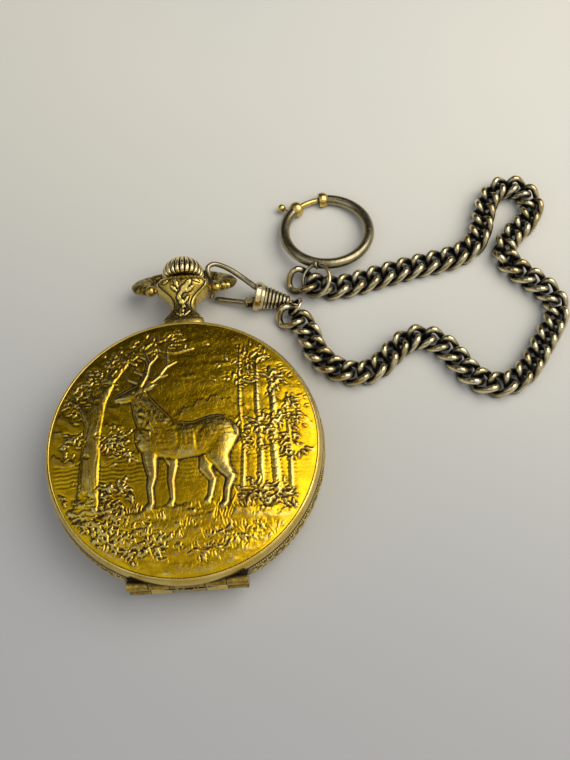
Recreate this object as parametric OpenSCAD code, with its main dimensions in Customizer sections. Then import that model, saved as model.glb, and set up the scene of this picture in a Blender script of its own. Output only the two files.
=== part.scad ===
// Full hunter pocket watch on its back, with a spring clip, curb chain and bolt ring.
// Millimetres. Origin at the centre of the flat back, +Y to the pendant, +Z to the front cover.

/* [Case] */
// Radius of the case at the edges of its band
case_r = 25; // [24.8:0.1:26]
// Swell of the band at its middle
band_swell = 0.2; // [0:0.05:0.3]
// Height of the back cover
back_h = 3.9; // [3.7:0.1:4.2]
// Height of the band between the covers
band_h = 4.6; // [4.5:0.1:5]
// Height of the front cover
front_h = 4.5; // [4.4:0.1:5]
// Sheet thickness of both covers
cover_wall = 0.6; // [0.5:0.05:0.65]
// Radius of the flat on which the watch rests
rest_r = 14; // [11:0.5:16]
// Rise of the front dome over its rim
front_dome = 1.8; // [1.6:0.1:2]

/* [Hinges] */
// Outer radius of a hinge knuckle
knuckle_r = 0.85; // [0.8:0.01:0.9]
// Radius of a hinge pin
hinge_pin_r = 0.35; // [0.3:0.01:0.4]
// Half length of a hinge
hinge_half = 10.3; // [9.8:0.1:10.6]

/* [Pendant and bow] */
// Distance from the case edge to the bow pivots
pivot_out = 9.2; // [9:0.1:9.6]
// Half width of the pendant at its shoulders
pendant_w = 5.35; // [5.3:0.05:5.45]
// Half depth of the pendant at its shoulders
pendant_d = 3.6; // [3.4:0.05:3.7]
// Radius of a bow pivot pin
bow_pin_r = 0.6; // [0.5:0.02:0.7]
// Radius of the bow wire at its arms
bow_wire_r = 1.0; // [0.9:0.02:1.05]

/* [Crown] */
// Largest radius of the crown
crown_r = 4.1; // [3.9:0.05:4.15]
// Number of flutes on the crown
flutes = 24; // [20:1:28]
// Radius of the winding stem
stem_r = 0.6; // [0.5:0.02:0.64]

/* [Movement] */
// Radius of the mainplate
plate_r = 20; // [19.9:0.02:20.1]
// Thickness of the bridges
bridge_t = 1.45; // [1.4:0.01:1.5]
// Room between the bridges and the mainplate
train_room = 2.35; // [2.3:0.01:2.4]
// Thickness of the mainplate
plate_t = 1.1; // [1:0.02:1.15]
// Radius of the train arbors
arbor_r = 0.25; // [0.2:0.01:0.3]
// Radius of the balance wheel
balance_r = 5.8; // [5.6:0.05:5.9]

/* [Dial and hands] */
// Radius of the dial
dial_r = 20.9; // [20.6:0.05:21.1]
// Thickness of the dial
dial_t = 0.4; // [0.35:0.01:0.45]
// Length of the minute hand
minute_len = 16.5; // [15:0.5:18]
// Length of the hour hand
hour_len = 11.5; // [10:0.5:13]
// Length of the seconds hand
seconds_len = 3.6; // [3:0.1:3.8]

/* [Clip, chain and bolt ring] */
// Radius of the chain wire
wire_r = 0.62; // [0.56:0.01:0.63]
// Length of a link along its centreline
link_len = 4.8; // [4.75:0.05:4.9]
// Width of a link along its centreline
link_w = 3.7; // [3.65:0.05:3.8]
// Twist height of a link
link_twist = 1.3; // [1.25:0.01:1.4]
// Distance from one link to the next
link_pitch = 3.2; // [3.15:0.01:3.25]
// Length of the end link along its centreline
end_len = 5.8; // [5.7:0.05:5.9]
// Width of the end link along its centreline
end_w = 4.6; // [4.5:0.05:4.7]
// Radius of the ferrule at its collar
ferrule_r = 2.95; // [2.8:0.05:3]
// Centreline radius of the bolt ring
ring_r = 8.9; // [8.6:0.1:9.2]
// Radius of the bolt ring tube
tube_r = 1.1; // [1.05:0.01:1.2]
// Radius of the sliding bolt
bolt_r = 0.58; // [0.5:0.02:0.62]

/* [Hidden] */

// Clearances
run = 0.05;
press = 0.01;
gap = 0.1;
loose = 0.25;

// Heights of the case
band_lo = back_h;
band_hi = back_h + band_h;
mid = (band_lo + band_hi) / 2;
case_h = band_hi + front_h;
dome_r = case_r - 1;
lip_r = case_r - 0.1;
rim_r = lip_r - cover_wall - 0.2;
rim_in = rim_r - 0.9;
ledge_r = plate_r + 0.12;

// Hinge axis, seen from the outer side of each cover
hinge_y = case_r - 0.8;
hinge_drop = 0.55;
hinge_cut = 1.45;
cover_k0 = 3;
cover_k1 = 6.6;

// Pendant, bow and crown
pivot_y = case_r + pivot_out;
bow_tilt = asin((mid - 0.9) / 8.7);
bow_swell = 0.22;
crown_y = pivot_y + 1.5;
crown_h = 5.7;

// Levels of the movement, from the back
bridge_z = 3.4;
train_z = bridge_z + bridge_t;
plate_z = train_z + train_room;
under_dial = plate_z + plate_t;
dial_z = under_dial + 0.85;
dial_top = dial_z + dial_t;

// Teeth
m_barrel = 0.2;
m_centre = 0.17;
m_third = 0.15;
m_fourth = 0.13;
m_wind = 0.35;
m_cannon = 0.125;
m_hour = 0.12;
n_barrel = 84;
n_centre_p = 12;
n_centre = 80;
n_third_p = 10;
n_third = 75;
n_fourth_p = 10;
n_fourth = 80;
n_escape_p = 8;
n_escape = 15;
n_wind = 12;
n_crown_w = 24;
n_ratchet = 30;
n_cannon = 12;
n_minute = 36;
n_minute_p = 10;
n_hour = 40;

function pitch_r(m, n) = m * n / 2;
function polar(r, a) = [r * cos(a), r * sin(a)];
function bearing(a, b) = atan2(b[1] - a[1], b[0] - a[0]);

// The point at ra from a and rb from b, on the left of the way from a to b when side is 1
function meet(a, ra, b, rb, side) =
    let (d = norm(b - a), u = (b - a) / d, s = (ra * ra - rb * rb + d * d) / (2 * d))
    a + u * s + [-u[1], u[0]] * side * sqrt(ra * ra - s * s);

// Phase of a wheel with nb teeth that meshes with one of na teeth and phase pa at bearing t
function in_mesh(t, pa, na, nb) = t + 180 - 360 / nb * ((pa - t) * na / 360 + 0.5);

// Places of the wheels, from their teeth
centre_c = [0, 0];
crown_wheel_c = [0, 12.1];
barrel_c = meet(centre_c, pitch_r(m_barrel, n_barrel + n_centre_p), crown_wheel_c,
    pitch_r(m_wind, n_crown_w + n_ratchet), 1);
fourth_c = [9.6, 0];
third_c = meet(centre_c, pitch_r(m_centre, n_centre + n_third_p), fourth_c,
    pitch_r(m_third, n_third + n_fourth_p), -1);
escape_c = fourth_c + polar(pitch_r(m_fourth, n_fourth + n_escape_p), -35);
balance_c = [8.3, -11.2];
fork_c = escape_c + polar(4.1, bearing(escape_c, balance_c));
minute_c = polar(pitch_r(m_cannon, n_cannon + n_minute), 200);

// Phases of the teeth, so that each pair is in mesh at rest
barrel_a = 0;
centre_p_a = in_mesh(bearing(barrel_c, centre_c), barrel_a, n_barrel, n_centre_p);
centre_a = 0;
third_p_a = in_mesh(bearing(centre_c, third_c), centre_a, n_centre, n_third_p);
third_a = 0;
fourth_p_a = in_mesh(bearing(third_c, fourth_c), third_a, n_third, n_fourth_p);
fourth_a = 0;
escape_p_a = in_mesh(bearing(fourth_c, escape_c), fourth_a, n_fourth, n_escape_p);
crown_wheel_a = 90 + 180 / n_crown_w;
ratchet_a = in_mesh(bearing(crown_wheel_c, barrel_c), crown_wheel_a, n_crown_w, n_ratchet);
cannon_a = 0;
minute_a = in_mesh(bearing(centre_c, minute_c), cannon_a, n_cannon, n_minute);
minute_p_a = 0;
hour_a = in_mesh(bearing(minute_c, centre_c), minute_p_a, n_minute_p, n_hour);

// Levels of the wheels between the plates
barrel_z = train_z + 0.1;
barrel_h = 1.55;
drum_r = pitch_r(m_barrel, n_barrel) - 0.5;
drum_wall = 0.6;
drum_floor = 0.35;
lid_t = 0.35;
spring_t = 0.16;
centre_z = plate_z - 0.55;
third_z = train_z + 0.3;
fourth_z = train_z + 1.05;
escape_z = plate_z - 0.65;
wheel_t = 0.25;
winding_z = bridge_z + 0.25;
winding_t = 0.65;
balance_z = bridge_z + 0.55;

// Chain route, from the clip to the jump ring, measured from the bow pivots
route = [[19.5, -5.3], [22.4, -6.3], [24.2, -8.8], [24.8, -12], [26.2, -15], [28.6, -17.4],
    [31.6, -18.8], [34.8, -19],
    [38.2, -17.2], [41.4, -14], [45.2, -12], [49.2, -13], [52.2, -16.2], [54.6, -20.2], [58, -23],
    [62.2, -23.2], [66, -20.8], [68.8, -17.2], [71.4, -13.4], [74, -9.6], [74.2, -5.2],
    [71.4, -1.4], [68, 2], [66, 6], [68.4, 10.2], [72, 13.4], [74, 17.6], [71.8, 21.8],
    [67.2, 22], [64.2, 18.2], [62.6, 13.4], [60.8, 9.4], [57.2, 6.6], [52.8, 5.2], [47.4, 4.2],
    [42, 3], [36.6, 1.6], [32, 0.6], [29, 0.6], [26, 1.5], [23.04, 2.83]];
curve_steps = 6;

// Helpers for swept wires

function unit(v) = v / norm(v);
function spline(a, b, c, d, t) = 0.5 * (2 * b + (c - a) * t + (2 * a - 5 * b + 4 * c - d) * t * t
    + (3 * b - a - 3 * c + d) * t * t * t);
function clampi(i, n) = min(max(i, 0), n);
function smooth_line(p, steps) =
    let (n = len(p) - 1)
    [for (i = [0 : n - 1], k = [0 : steps - 1])
        spline(p[clampi(i - 1, n)], p[i], p[i + 1], p[clampi(i + 2, n)], k / steps), p[n]];

// A wire along open points with a radius at each, as rings turned with the path
module wire(path, radii, sides = 8) {
    n = len(path);
    dirs = [for (i = [0 : n - 1]) unit(path[min(i + 1, n - 1)] - path[max(i - 1, 0)])];
    first = unit(cross(dirs[0], abs(dirs[0][2]) > 0.9 ? [1, 0, 0] : [0, 0, 1]));
    sides_at = [for (i = 0, s = first; i < n; i = i + 1,
        s = i < n ? unit(s - dirs[i] * (s * dirs[i])) : s) s];
    points = [for (i = [0 : n - 1], k = [0 : sides - 1])
        let (a = 360 * k / sides, s = unit(sides_at[i] - dirs[i] * (sides_at[i] * dirs[i])))
        path[i] + radii[i] * (cos(a) * s + sin(a) * cross(dirs[i], s))];
    skin = [for (i = [0 : n - 2], k = [0 : sides - 1])
        let (a = i * sides + k, b = i * sides + (k + 1) % sides)
        each [[a, a + sides, b], [b, a + sides, b + sides]]];
    polyhedron(points, concat(skin, [[for (k = [0 : sides - 1]) k],
        [for (k = [sides - 1 : -1 : 0]) (n - 1) * sides + k]]));
}

// A closed wire round the origin, as rings that face the centre
module wire_loop(path, radius, sides = 6) {
    n = len(path);
    points = [for (i = [0 : n - 1], k = [0 : sides - 1])
        let (d = unit(path[(i + 1) % n] - path[(i + n - 1) % n]),
            s = unit(path[i] - d * (path[i] * d)), a = 360 * k / sides)
        path[i] + radius * (cos(a) * s + sin(a) * cross(d, s))];
    faces = [for (i = [0 : n - 1], k = [0 : sides - 1])
        let (a = i * sides + k, b = i * sides + (k + 1) % sides,
            c = ((i + 1) % n) * sides + k, d = ((i + 1) % n) * sides + (k + 1) % sides)
        each [[a, c, b], [b, c, d]]];
    polyhedron(points, faces);
}

// Helpers for the movement

// Outline of a toothed wheel: foot and tip are shares of the pitch
module toothed(m, n, phase, up = 1, down = 1.4, foot = 0.4, tip = 0.12) {
    r = pitch_r(m, n);
    p = 360 / n;
    polygon([for (i = [0 : n - 1]) each [
        polar(r - down * m, phase + p * (i - foot / 2)), polar(r + up * m, phase + p * (i - tip / 2)),
        polar(r + up * m, phase + p * (i + tip / 2)), polar(r - down * m, phase + p * (i + foot / 2))]]);
}

// A wheel with its rim, arms and hub
module spoked(m, n, phase, arms, rim, hub) {
    r = pitch_r(m, n) - 1.4 * m - rim;
    difference() {
        toothed(m, n, phase, tip = 0.1);
        difference() {
            circle(r, $fn = 64);
            circle(hub, $fn = 32);
            for (i = [0 : arms - 1]) rotate(i * 360 / arms)
                translate([0, -0.3]) square([r + rim / 2, 0.6]);
        }
    }
}

module at_xy(p, z) { translate([p[0], p[1], z]) children(); }
module rod(r, h, n = 24) { cylinder(r = r, h = h, $fn = n); }
module rod_x(r, x0, x1, n = 24) { translate([x0, 0, 0]) rotate([0, 90, 0]) rod(r, x1 - x0, n); }
module rod_y(r, y0, y1, n = 32) { translate([0, y0, 0]) rotate([-90, 0, 0]) rod(r, y1 - y0, n); }

// An arbor that reaches into jewels at both ends
module arbor(p, z0 = bridge_z + 0.5, z1 = under_dial - 0.4, r = arbor_r) {
    at_xy(p, z0) rod(r, z1 - z0);
}

// Case

// Half profile of a cover: shell between an outer and an inner dome, lip at h0
module cover_profile(rise, dome, flat_r) {
    wall_h = rise - dome;
    steps = 10;
    function dome_z(r, r0, top, h) = r <= flat_r ? top : top - h * pow((r - flat_r) / (r0 - flat_r), 2);
    outer = [for (a = [0 : 15 : 90]) [dome_r + (lip_r - dome_r) * cos(a), wall_h * (0.3 + 0.7 * sin(a))]];
    in_r = dome_r - cover_wall;
    in_h = wall_h - cover_wall * 0.9;
    inner = [for (a = [0 : 15 : 90])
        [in_r + (lip_r - dome_r) * cos(a), wall_h * 0.3 + (in_h - wall_h * 0.3) * sin(a)]];
    top_out = [for (i = [1 : steps]) let (r = dome_r * (1 - i / steps)) [r, dome_z(r, dome_r, rise, dome)]];
    top_in = [for (i = [0 : steps - 1])
        let (r = in_r * i / steps) [r, dome_z(r, in_r, rise - cover_wall, rise - cover_wall - in_h)]];
    polygon(concat([[lip_r, gap / 2]], outer, top_out, top_in,
        [for (i = [len(inner) - 1 : -1 : 0]) inner[i]], [[lip_r - cover_wall, gap / 2]]));
}

module flip() { mirror([0, 0, 1]) children(); }

// Frame of a hinge: the front one as it is, the back one turned over
module at_hinge(front) {
    translate([0, -hinge_y, front ? band_hi - hinge_drop : band_lo + hinge_drop])
        mirror([0, 0, front ? 0 : 1]) children();
}

module hinge_bore() { rod_x(hinge_pin_r + 0.03, -hinge_half - 1, hinge_half + 1); }

// Two knuckles on the cover's side, each with the tab that joins it to the lip
module cover_knuckles() {
    for (s = [0, 1]) mirror([s, 0, 0]) difference() {
        union() {
            rod_x(knuckle_r, cover_k0, cover_k1, 32);
            translate([cover_k0, -0.45, 0.3]) cube([cover_k1 - cover_k0, 1.05, 0.75]);
        }
        hinge_bore();
    }
}

// The cover's shell, cleared round the band's knuckles and joined to its own
module hinged_cover(rise, dome, flat_r, front) {
    z = front ? band_hi : band_lo;
    difference() {
        translate([0, 0, z]) mirror([0, 0, front ? 0 : 1])
            rotate_extrude($fn = 180) cover_profile(rise, dome, flat_r);
        at_hinge(front) rod_x(knuckle_r + gap, -hinge_half - gap, hinge_half + gap, 48);
    }
    at_hinge(front) cover_knuckles();
}

module front_cover() {
    color("goldenrod") hinged_cover(front_h, front_dome, 0, true);
}

module back_cover() {
    color("goldenrod") hinged_cover(back_h, back_h * 0.44, rest_r, false);
}

// The three knuckles that the band carries at one hinge
module band_knuckles() {
    for (x = [[-cover_k0 + gap, cover_k0 - gap, -0.2], [cover_k1 + gap, hinge_half, -0.5],
            [-hinge_half, -cover_k1 - gap, -0.5]]) {
        rod_x(knuckle_r, x[0], x[1], 32);
        translate([x[0], x[2], -1.6]) cube([x[1] - x[0], 2 - x[2], 1.6]);
    }
}

// Room round a hinge for the cover to swing in
module hinge_room() {
    rod_x(hinge_cut, -hinge_half - gap, hinge_half + gap, 48);
}

module band_profile() {
    swell = [for (i = [0 : 7]) let (t = i / 7)
        [case_r + band_swell * sin(180 * t), band_lo + band_h * t]];
    polygon(concat(swell, [[rim_r, band_hi], [rim_r, band_hi + 0.5], [rim_in, band_hi + 0.5],
        [rim_in, dial_z], [ledge_r, dial_z], [ledge_r, plate_z], [rim_in - 1.3, plate_z],
        [rim_in - 1.3, band_lo], [rim_in, band_lo - 0.5], [rim_r, band_lo - 0.5], [rim_r, band_lo]]));
}

// Ring between the covers, with its hinge knuckles, pendant seat and pockets
module case_band() {
    color("gold") difference() {
        union() {
            difference() {
                rotate_extrude($fn = 180) band_profile();
                for (front = [true, false]) at_hinge(front) hinge_room();
            }
            for (front = [true, false]) at_hinge(front) intersection() {
                band_knuckles();
                translate([-hinge_half, -2, -2]) cube([2 * hinge_half, 4, 3]);
            }
        }
        for (front = [true, false]) at_hinge(front) hinge_bore();
        translate([0, 0, mid]) rod_y(1.55 + gap, plate_r - 1, case_r - 1.1);
        translate([0, 0, mid]) rod_y(2.1, case_r - 1.2, case_r + 1, 48);
        for (a = [20, 200]) at_xy(polar(ledge_r + 0.75, a), plate_z - 1) rod(0.38, 2);
        catch_slot(loose);
        spring_room();
    }
}

// Outline half widths along the pendant, from its seat to its top
pendant_front = [[-1.2, 0.745], [1, 0.7], [2.6, 0.59], [3.9, 0.47], [5, 0.44], [6, 0.47], [7.2, 0.67],
    [8.2, 0.9], [8.9, 1], [9.7, 0.99], [10.2, 0.88]];
pendant_side = [[-1.2, 0.58], [1.5, 0.6], [4, 0.58], [5.4, 0.6], [7.4, 0.84], [8.9, 1], [9.6, 0.98],
    [10.2, 0.88]];

module pendant_outline(shape, half) {
    polygon(concat([for (p = shape) [p[1] * half, p[0]]],
        [for (i = [len(shape) - 1 : -1 : 0]) [-shape[i][1] * half, shape[i][0]]]));
}

// Facetted vase: two outlines crossed, and its corners taken off by a third
module pendant() {
    color("gold") difference() {
        translate([0, case_r, mid]) {
            intersection() {
                translate([0, 0, -6]) linear_extrude(12) pendant_outline(pendant_front, pendant_w);
                rotate([0, -90, 0]) translate([0, 0, -7])
                    linear_extrude(14) pendant_outline(pendant_side, pendant_d);
                for (turn = [45, -45]) rotate([0, turn, 0]) translate([0, 0, -7])
                    linear_extrude(14) pendant_outline(pendant_front, pendant_w * 0.98);
                translate([-7, 0, -7]) cube([14, 12, 14]);
            }
            rod_y(2.1 - run, -1.15, 0.6, 48);
        }
        translate([0, 0, mid]) {
            rod_y(stem_r + gap, case_r - 2, case_r + 12);
            translate([0, pivot_y, 0]) {
                rod_x(bow_pin_r + run, pendant_w - 1.6, pendant_w + 1);
                rod_x(bow_pin_r + run, -pendant_w - 1, -pendant_w + 1.6);
            }
        }
        difference() {
            cylinder(r = case_r + band_swell + run, h = 20, $fn = 180);
            translate([0, 0, mid]) rod_y(2.1 - run, case_r - 1.15, case_r + 1, 48);
        }
    }
}

module hinge_pin(front) {
    color("darkgoldenrod") at_hinge(front) rod_x(hinge_pin_r, -hinge_half, hinge_half);
}
module front_hinge_pin() { hinge_pin(true); }
module back_hinge_pin() { hinge_pin(false); }

// Ring that holds the glass, snapped on the inside of the band's rim
bezel_r = rim_in - gap;
glass_r = dial_r - 0.1;
glass_z = dial_top + 0.55;
module bezel() {
    color("gold") rotate_extrude($fn = 160) polygon([[bezel_r, dial_z + gap],
        [bezel_r, dial_top + 0.5], [bezel_r - 0.5, dial_top + 1], [glass_r + run, dial_top + 1.1],
        [glass_r + run, glass_z - run], [glass_r - 0.7, glass_z - run], [glass_r - 0.5, dial_top + gap],
        [dial_r + gap, dial_top + gap], [dial_r + gap, dial_z + gap]]);
}

module crystal() {
    rise = 1.45;
    t = 0.7;
    function dome(r) = glass_z + 0.4 + rise * (1 - pow(r / glass_r, 2));
    color("lightcyan", 0.4) rotate_extrude($fn = 120) polygon(concat(
        [for (i = [0 : 8]) let (r = glass_r * i / 8) [r, dome(r)]],
        [for (i = [8 : -1 : 0]) let (r = glass_r * i / 8) [r, i == 8 ? glass_z : dome(r) - t]]));
}

// Crown, stem and keyless work

crown_shape = [[0, 0.72], [0.5, 0.9], [1.3, 0.99], [2.2, 1], [3.2, 0.94], [4.1, 0.78], [4.8, 0.56],
    [5.3, 0.34]];

// Onion crown: a ring of flutes that follows the crown's profile, on a plain core
module crown() {
    n = flutes * 4;
    rows = len(crown_shape);
    depth = [0, 0.55, 0, -1];
    points = [for (i = [0 : rows - 1], k = [0 : n - 1])
        let (r = crown_shape[i][1] * crown_r, cut = 0.16 * crown_shape[i][1] * (1 - depth[k % 4]),
            a = 360 * k / n)
        [(r - cut) * cos(a), crown_shape[i][0], -(r - cut) * sin(a)]];
    skin = [for (i = [0 : rows - 2], k = [0 : n - 1])
        let (a = i * n + k, b = i * n + (k + 1) % n)
        each [[a, a + n, b], [b, a + n, b + n]]];
    ends = [for (k = [0 : n - 1]) each [[rows * n, k, (k + 1) % n],
        [rows * n + 1, (rows - 1) * n + (k + 1) % n, (rows - 1) * n + k]]];
    middles = [[0, 0, 0], [0, crown_shape[rows - 1][0], 0]];
    color("gold") translate([0, crown_y, mid]) difference() {
        union() {
            polyhedron(concat(points, middles), concat(skin, ends));
            rod_y(1.15, 4, crown_h);
        }
        rod_y(stem_r + 0.02, -1, 3);
    }
}

module winding_stem() {
    color("silver") translate([0, 0, mid]) rod_y(stem_r, crown_wheel_c[1] + 2.6, crown_y + 2.95, 24);
}

pinion_y = crown_wheel_c[1] + pitch_r(m_wind, n_crown_w) - 0.25;
module winding_pinion() {
    // The teeth reach as far towards the crown wheel as its own teeth let them
    tip_r = mid - (winding_z + winding_t) + 0.3;
    color("silver") translate([0, pinion_y, mid]) rotate([-90, 0, 0]) difference() {
        linear_extrude(1.6) toothed(tip_r * 2 / (n_wind + 2), n_wind, 90, up = 1, down = 1.1,
            foot = 0.42, tip = 0.14);
        translate([0, 0, -1]) rod(stem_r + run, 4);
    }
}

module crown_wheel() {
    color("silver") at_xy(crown_wheel_c, winding_z) difference() {
        linear_extrude(winding_t)
            toothed(m_wind, n_crown_w, crown_wheel_a, up = 0.85, down = 1.5, foot = 0.4, tip = 0.14);
        translate([0, 0, -1]) rod(1.2 + run, 3, 32);
    }
}

// Ratchet wheel, its screw and the barrel arbor that it turns
module ratchet_wheel() {
    top = winding_z + winding_t;
    color("silver") {
        at_xy(barrel_c, winding_z) linear_extrude(winding_t)
            toothed(m_wind, n_ratchet, ratchet_a, up = 0.85, down = 1.5, foot = 0.4, tip = 0.14);
        at_xy(barrel_c, top - 0.1) rod(1.1, barrel_z + lid_t + run + 0.1 - top, 32);
        at_xy(barrel_c, barrel_z + lid_t + run) rod(1.5, barrel_h - drum_floor - lid_t - 2 * run, 32);
        at_xy(barrel_c, barrel_z) rod(0.9, under_dial - 0.3 - barrel_z, 32);
        at_xy(barrel_c, winding_z - 0.3) difference() {
            rod(1.6, 0.35, 32);
            translate([-2, -0.15, -0.1]) cube([4, 0.3, 0.2]);
        }
    }
}

click_a = 150;
click_c = barrel_c + polar(pitch_r(m_wind, n_ratchet) + 1.9, click_a);
module click() {
    color("steelblue") at_xy(click_c, winding_z) rotate(click_a - 90) difference() {
        linear_extrude(0.5) union() {
            circle(0.85, $fn = 32);
            polygon([[-0.3, -0.5], [-0.3, 0.6], [1.2, 0.1], [2.7, -1.5], [2.4, -1.9], [1.3, -1.1]]);
        }
        translate([0, 0, -1]) rod(0.4 + run, 3);
    }
}

// Cover catch and lift spring, in pockets of the band

catch_w = 3.2;
catch_t = 0.5;
catch_y = rim_r - 0.75;
catch_slide = 0.2;
module catch_slot(c) {
    translate([-catch_w / 2 - c, catch_y - catch_slide - c, band_hi - 1.6])
        cube([catch_w + 2 * c, catch_t + catch_slide + 2.2 * c, 3]);
}

module cover_catch() {
    color("steelblue") translate([-catch_w / 2, catch_y, band_hi - 1.5]) {
        cube([catch_w, catch_t, 2.6]);
        translate([catch_w / 4, 0, 2.15]) cube([catch_w / 2, catch_t + 0.25, 0.45]);
    }
}

spring_a0 = 215;
spring_a1 = 255;
module spring_room() {
    translate([0, 0, band_hi - 1.3]) rotate([0, 0, spring_a0 - 1])
        rotate_extrude(angle = spring_a1 - spring_a0 + 2, $fn = 120)
            translate([rim_in - 0.85, 0]) square([0.9, 3]);
}

module cover_spring() {
    color("steelblue") translate([0, 0, band_hi - 1.25]) rotate([0, 0, spring_a0])
        rotate_extrude(angle = spring_a1 - spring_a0, $fn = 120)
            translate([rim_in - 0.65, 0]) square([0.45, 1.35]);
}

module case_screws() {
    color("steelblue") for (a = [20, 200]) at_xy(polar(ledge_r + 0.75, a), plate_z - 0.45) {
        difference() {
            rod(0.98, 0.42, 32);
            translate([-1.2, -0.13, -0.1]) cube([2.4, 0.26, 0.25]);
        }
        translate([0, 0, 0.3]) rod(0.35, 1.1);
    }
}

// Movement plates

bridge_feet = [[-17, -2], [-5.5, 16.8], [9.5, 15.2]];
train_feet = [[17.3, 4.6], [-14.5, -8.5], [-3, -17]];
cock_foot = [16.3, -9.6];
split_line = [[-21, -6], [-3.2, -1.4], [1.5, 3.6], [8, 8.5], [21, 9]];

// The stretch of the movement under one bridge, above or below the split line
module bridge_area(upper) {
    shift = upper ? 0.15 : -0.15;
    line = [for (p = split_line) p + [0, shift]];
    intersection() {
        circle(plate_r - 0.2, $fn = 120);
        polygon(upper ? concat(line, [[21, 21], [-21, 21]]) : concat(line, [[21, -21], [-21, -21]]));
    }
}

module screw_holes(places) {
    for (p = places) at_xy(p, bridge_z) {
        translate([0, 0, -1]) rod(1.05, 1.55, 32);
        rod(0.5, 4);
    }
}

module jewel_holes(places) {
    for (p = places) at_xy(p, bridge_z - 1) {
        rod(0.65, 1.5);
        rod(arbor_r + run, 4);
    }
}

train_jewels = [third_c, fourth_c, escape_c];

module barrel_bridge() {
    color("silver") difference() {
        union() {
            translate([0, 0, bridge_z]) linear_extrude(bridge_t) bridge_area(true);
            for (p = bridge_feet) at_xy(p, train_z) intersection() {
                rod(1.5, train_room, 32);
                translate([-p[0], -p[1], -1]) rod(plate_r - 0.2, 6, 96);
            }
        }
        at_xy(crown_wheel_c, bridge_z - 1) difference() {
            rod(pitch_r(m_wind, n_crown_w) + 0.85 * m_wind + gap, 1.95, 64);
            rod(1.2, 4, 32);
        }
        at_xy(barrel_c, bridge_z - 1) rod(pitch_r(m_wind, n_ratchet) + 0.85 * m_wind + gap, 1.95, 64);
        at_xy(barrel_c, bridge_z) rod(1.1 + run, 3, 32);
        at_xy(click_c, bridge_z - 1) rotate(click_a - 90) difference() {
            linear_extrude(1.95) {
                circle(1.15, $fn = 32);
                translate([1.9, -1]) circle(1.7, $fn = 32);
            }
            rod(0.4, 4);
        }
        translate([-2.9, pinion_y - 0.3, bridge_z - 1]) cube([5.8, 6, 4]);
        screw_holes(bridge_feet);
    }
}

module train_bridge() {
    color("silver") difference() {
        union() {
            translate([0, 0, bridge_z]) linear_extrude(bridge_t) difference() {
                bridge_area(false);
                translate(balance_c) circle(balance_r + 0.5, $fn = 96);
                translate(cock_foot) circle(2.2, $fn = 48);
                polygon([balance_c, [8, -21], [21, -21], [21, -9.6], cock_foot]);
            }
            for (p = train_feet) at_xy(p, train_z) rod(1.5, train_room, 32);
        }
        jewel_holes([fourth_c, escape_c]);
        at_xy(third_c, bridge_z - 1) rod(0.65, 1.5);
        at_xy(third_c, bridge_z - 1) rod(arbor_r + run, 4);
        at_xy(centre_c, bridge_z - 1) rod(0.6 + run, 4, 32);
        screw_holes(train_feet);
    }
}

module balance_cock() {
    t = 0.9;
    z = balance_z - 1.55;
    b = bearing(cock_foot, balance_c);
    d = norm(balance_c - cock_foot);
    color("silver") difference() {
        union() {
            translate([0, 0, z]) linear_extrude(t) {
                translate(balance_c) circle(1.7, $fn = 48);
                translate(cock_foot) circle(1.9, $fn = 48);
                translate(cock_foot) rotate(b) polygon([[0, -1.9], [d, -1.7], [d, 1.7], [0, 1.9]]);
            }
            at_xy(cock_foot, z) rod(1.6, plate_z - z, 48);
        }
        at_xy(balance_c, z - 1) rod(0.65, 1.5);
        at_xy(balance_c, z) rod(0.12 + run, 2);
        at_xy(cock_foot, z - 1) {
            rod(1.05, 1.6, 32);
            rod(0.5, 7);
        }
    }
}

module mainplate() {
    stem_block = [[-3.4, 14.6], [3.4, 14.6], [3.4, 19.6], [-3.4, 19.6]];
    color("silver") difference() {
        union() {
            translate([0, 0, plate_z]) rod(plate_r, plate_t, 160);
            translate([0, 0, train_z + gap]) intersection() {
                linear_extrude(train_room) polygon(stem_block);
                rod(plate_r - 0.2, 9, 120);
            }
        }
        // Room for the barrel's cap, the winding pinion and the stem
        at_xy(barrel_c, plate_z - 1) rod(pitch_r(m_barrel, n_barrel) + 0.6, 1.2, 96);
        translate([-2.7, pinion_y - 0.3, train_z - 1]) cube([5.4, 2.3, 8]);
        translate([0, 0, mid]) rod_y(stem_r + run, 5, 30);
        for (p = [third_c, fourth_c, escape_c, fork_c]) at_xy(p, plate_z - 1) rod(arbor_r + run, 4);
        at_xy(balance_c, plate_z - 1) rod(0.12 + run, 4);
        at_xy(fourth_c, plate_z + 0.5) rod(0.65, 2);
        at_xy(centre_c, plate_z - 1) rod(0.4 + run, 4, 32);
        at_xy(barrel_c, plate_z - 1) rod(0.9 + run, 4, 32);
        for (p = concat(bridge_feet, train_feet, [cock_foot])) at_xy(p, plate_z - 0.1) rod(0.45, 0.9);
        for (a = [20, 200]) at_xy(polar(ledge_r + 0.75, a), plate_z - 1) rod(1.15, 1.1, 32);
    }
    color("silver") at_xy(minute_c, under_dial) rod(0.3, 0.6);
}

module bridge_screws() {
    color("steelblue") {
        for (p = concat(bridge_feet, train_feet)) slotted_screw(p, bridge_z + 0.05, plate_z + 0.7);
        slotted_screw(cock_foot, balance_z - 1.5, plate_z + 0.7);
    }
}

module slotted_screw(p, z0, z1) {
    at_xy(p, z0) difference() {
        union() {
            rod(1, 0.48, 32);
            rod(0.42, z1 - z0);
        }
        translate([-1.1, -0.14, -0.1]) cube([2.2, 0.28, 0.28]);
    }
}

module jewels() {
    color("crimson") {
        for (p = train_jewels) at_xy(p, bridge_z + 0.1) jewel();
        at_xy(balance_c, balance_z - 1.5) jewel();
    }
}

module jewel() {
    difference() {
        rod(0.62, 0.38);
        translate([0, 0, 0.18]) rod(arbor_r + run, 1, 16);
    }
}

// Wheels

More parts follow.
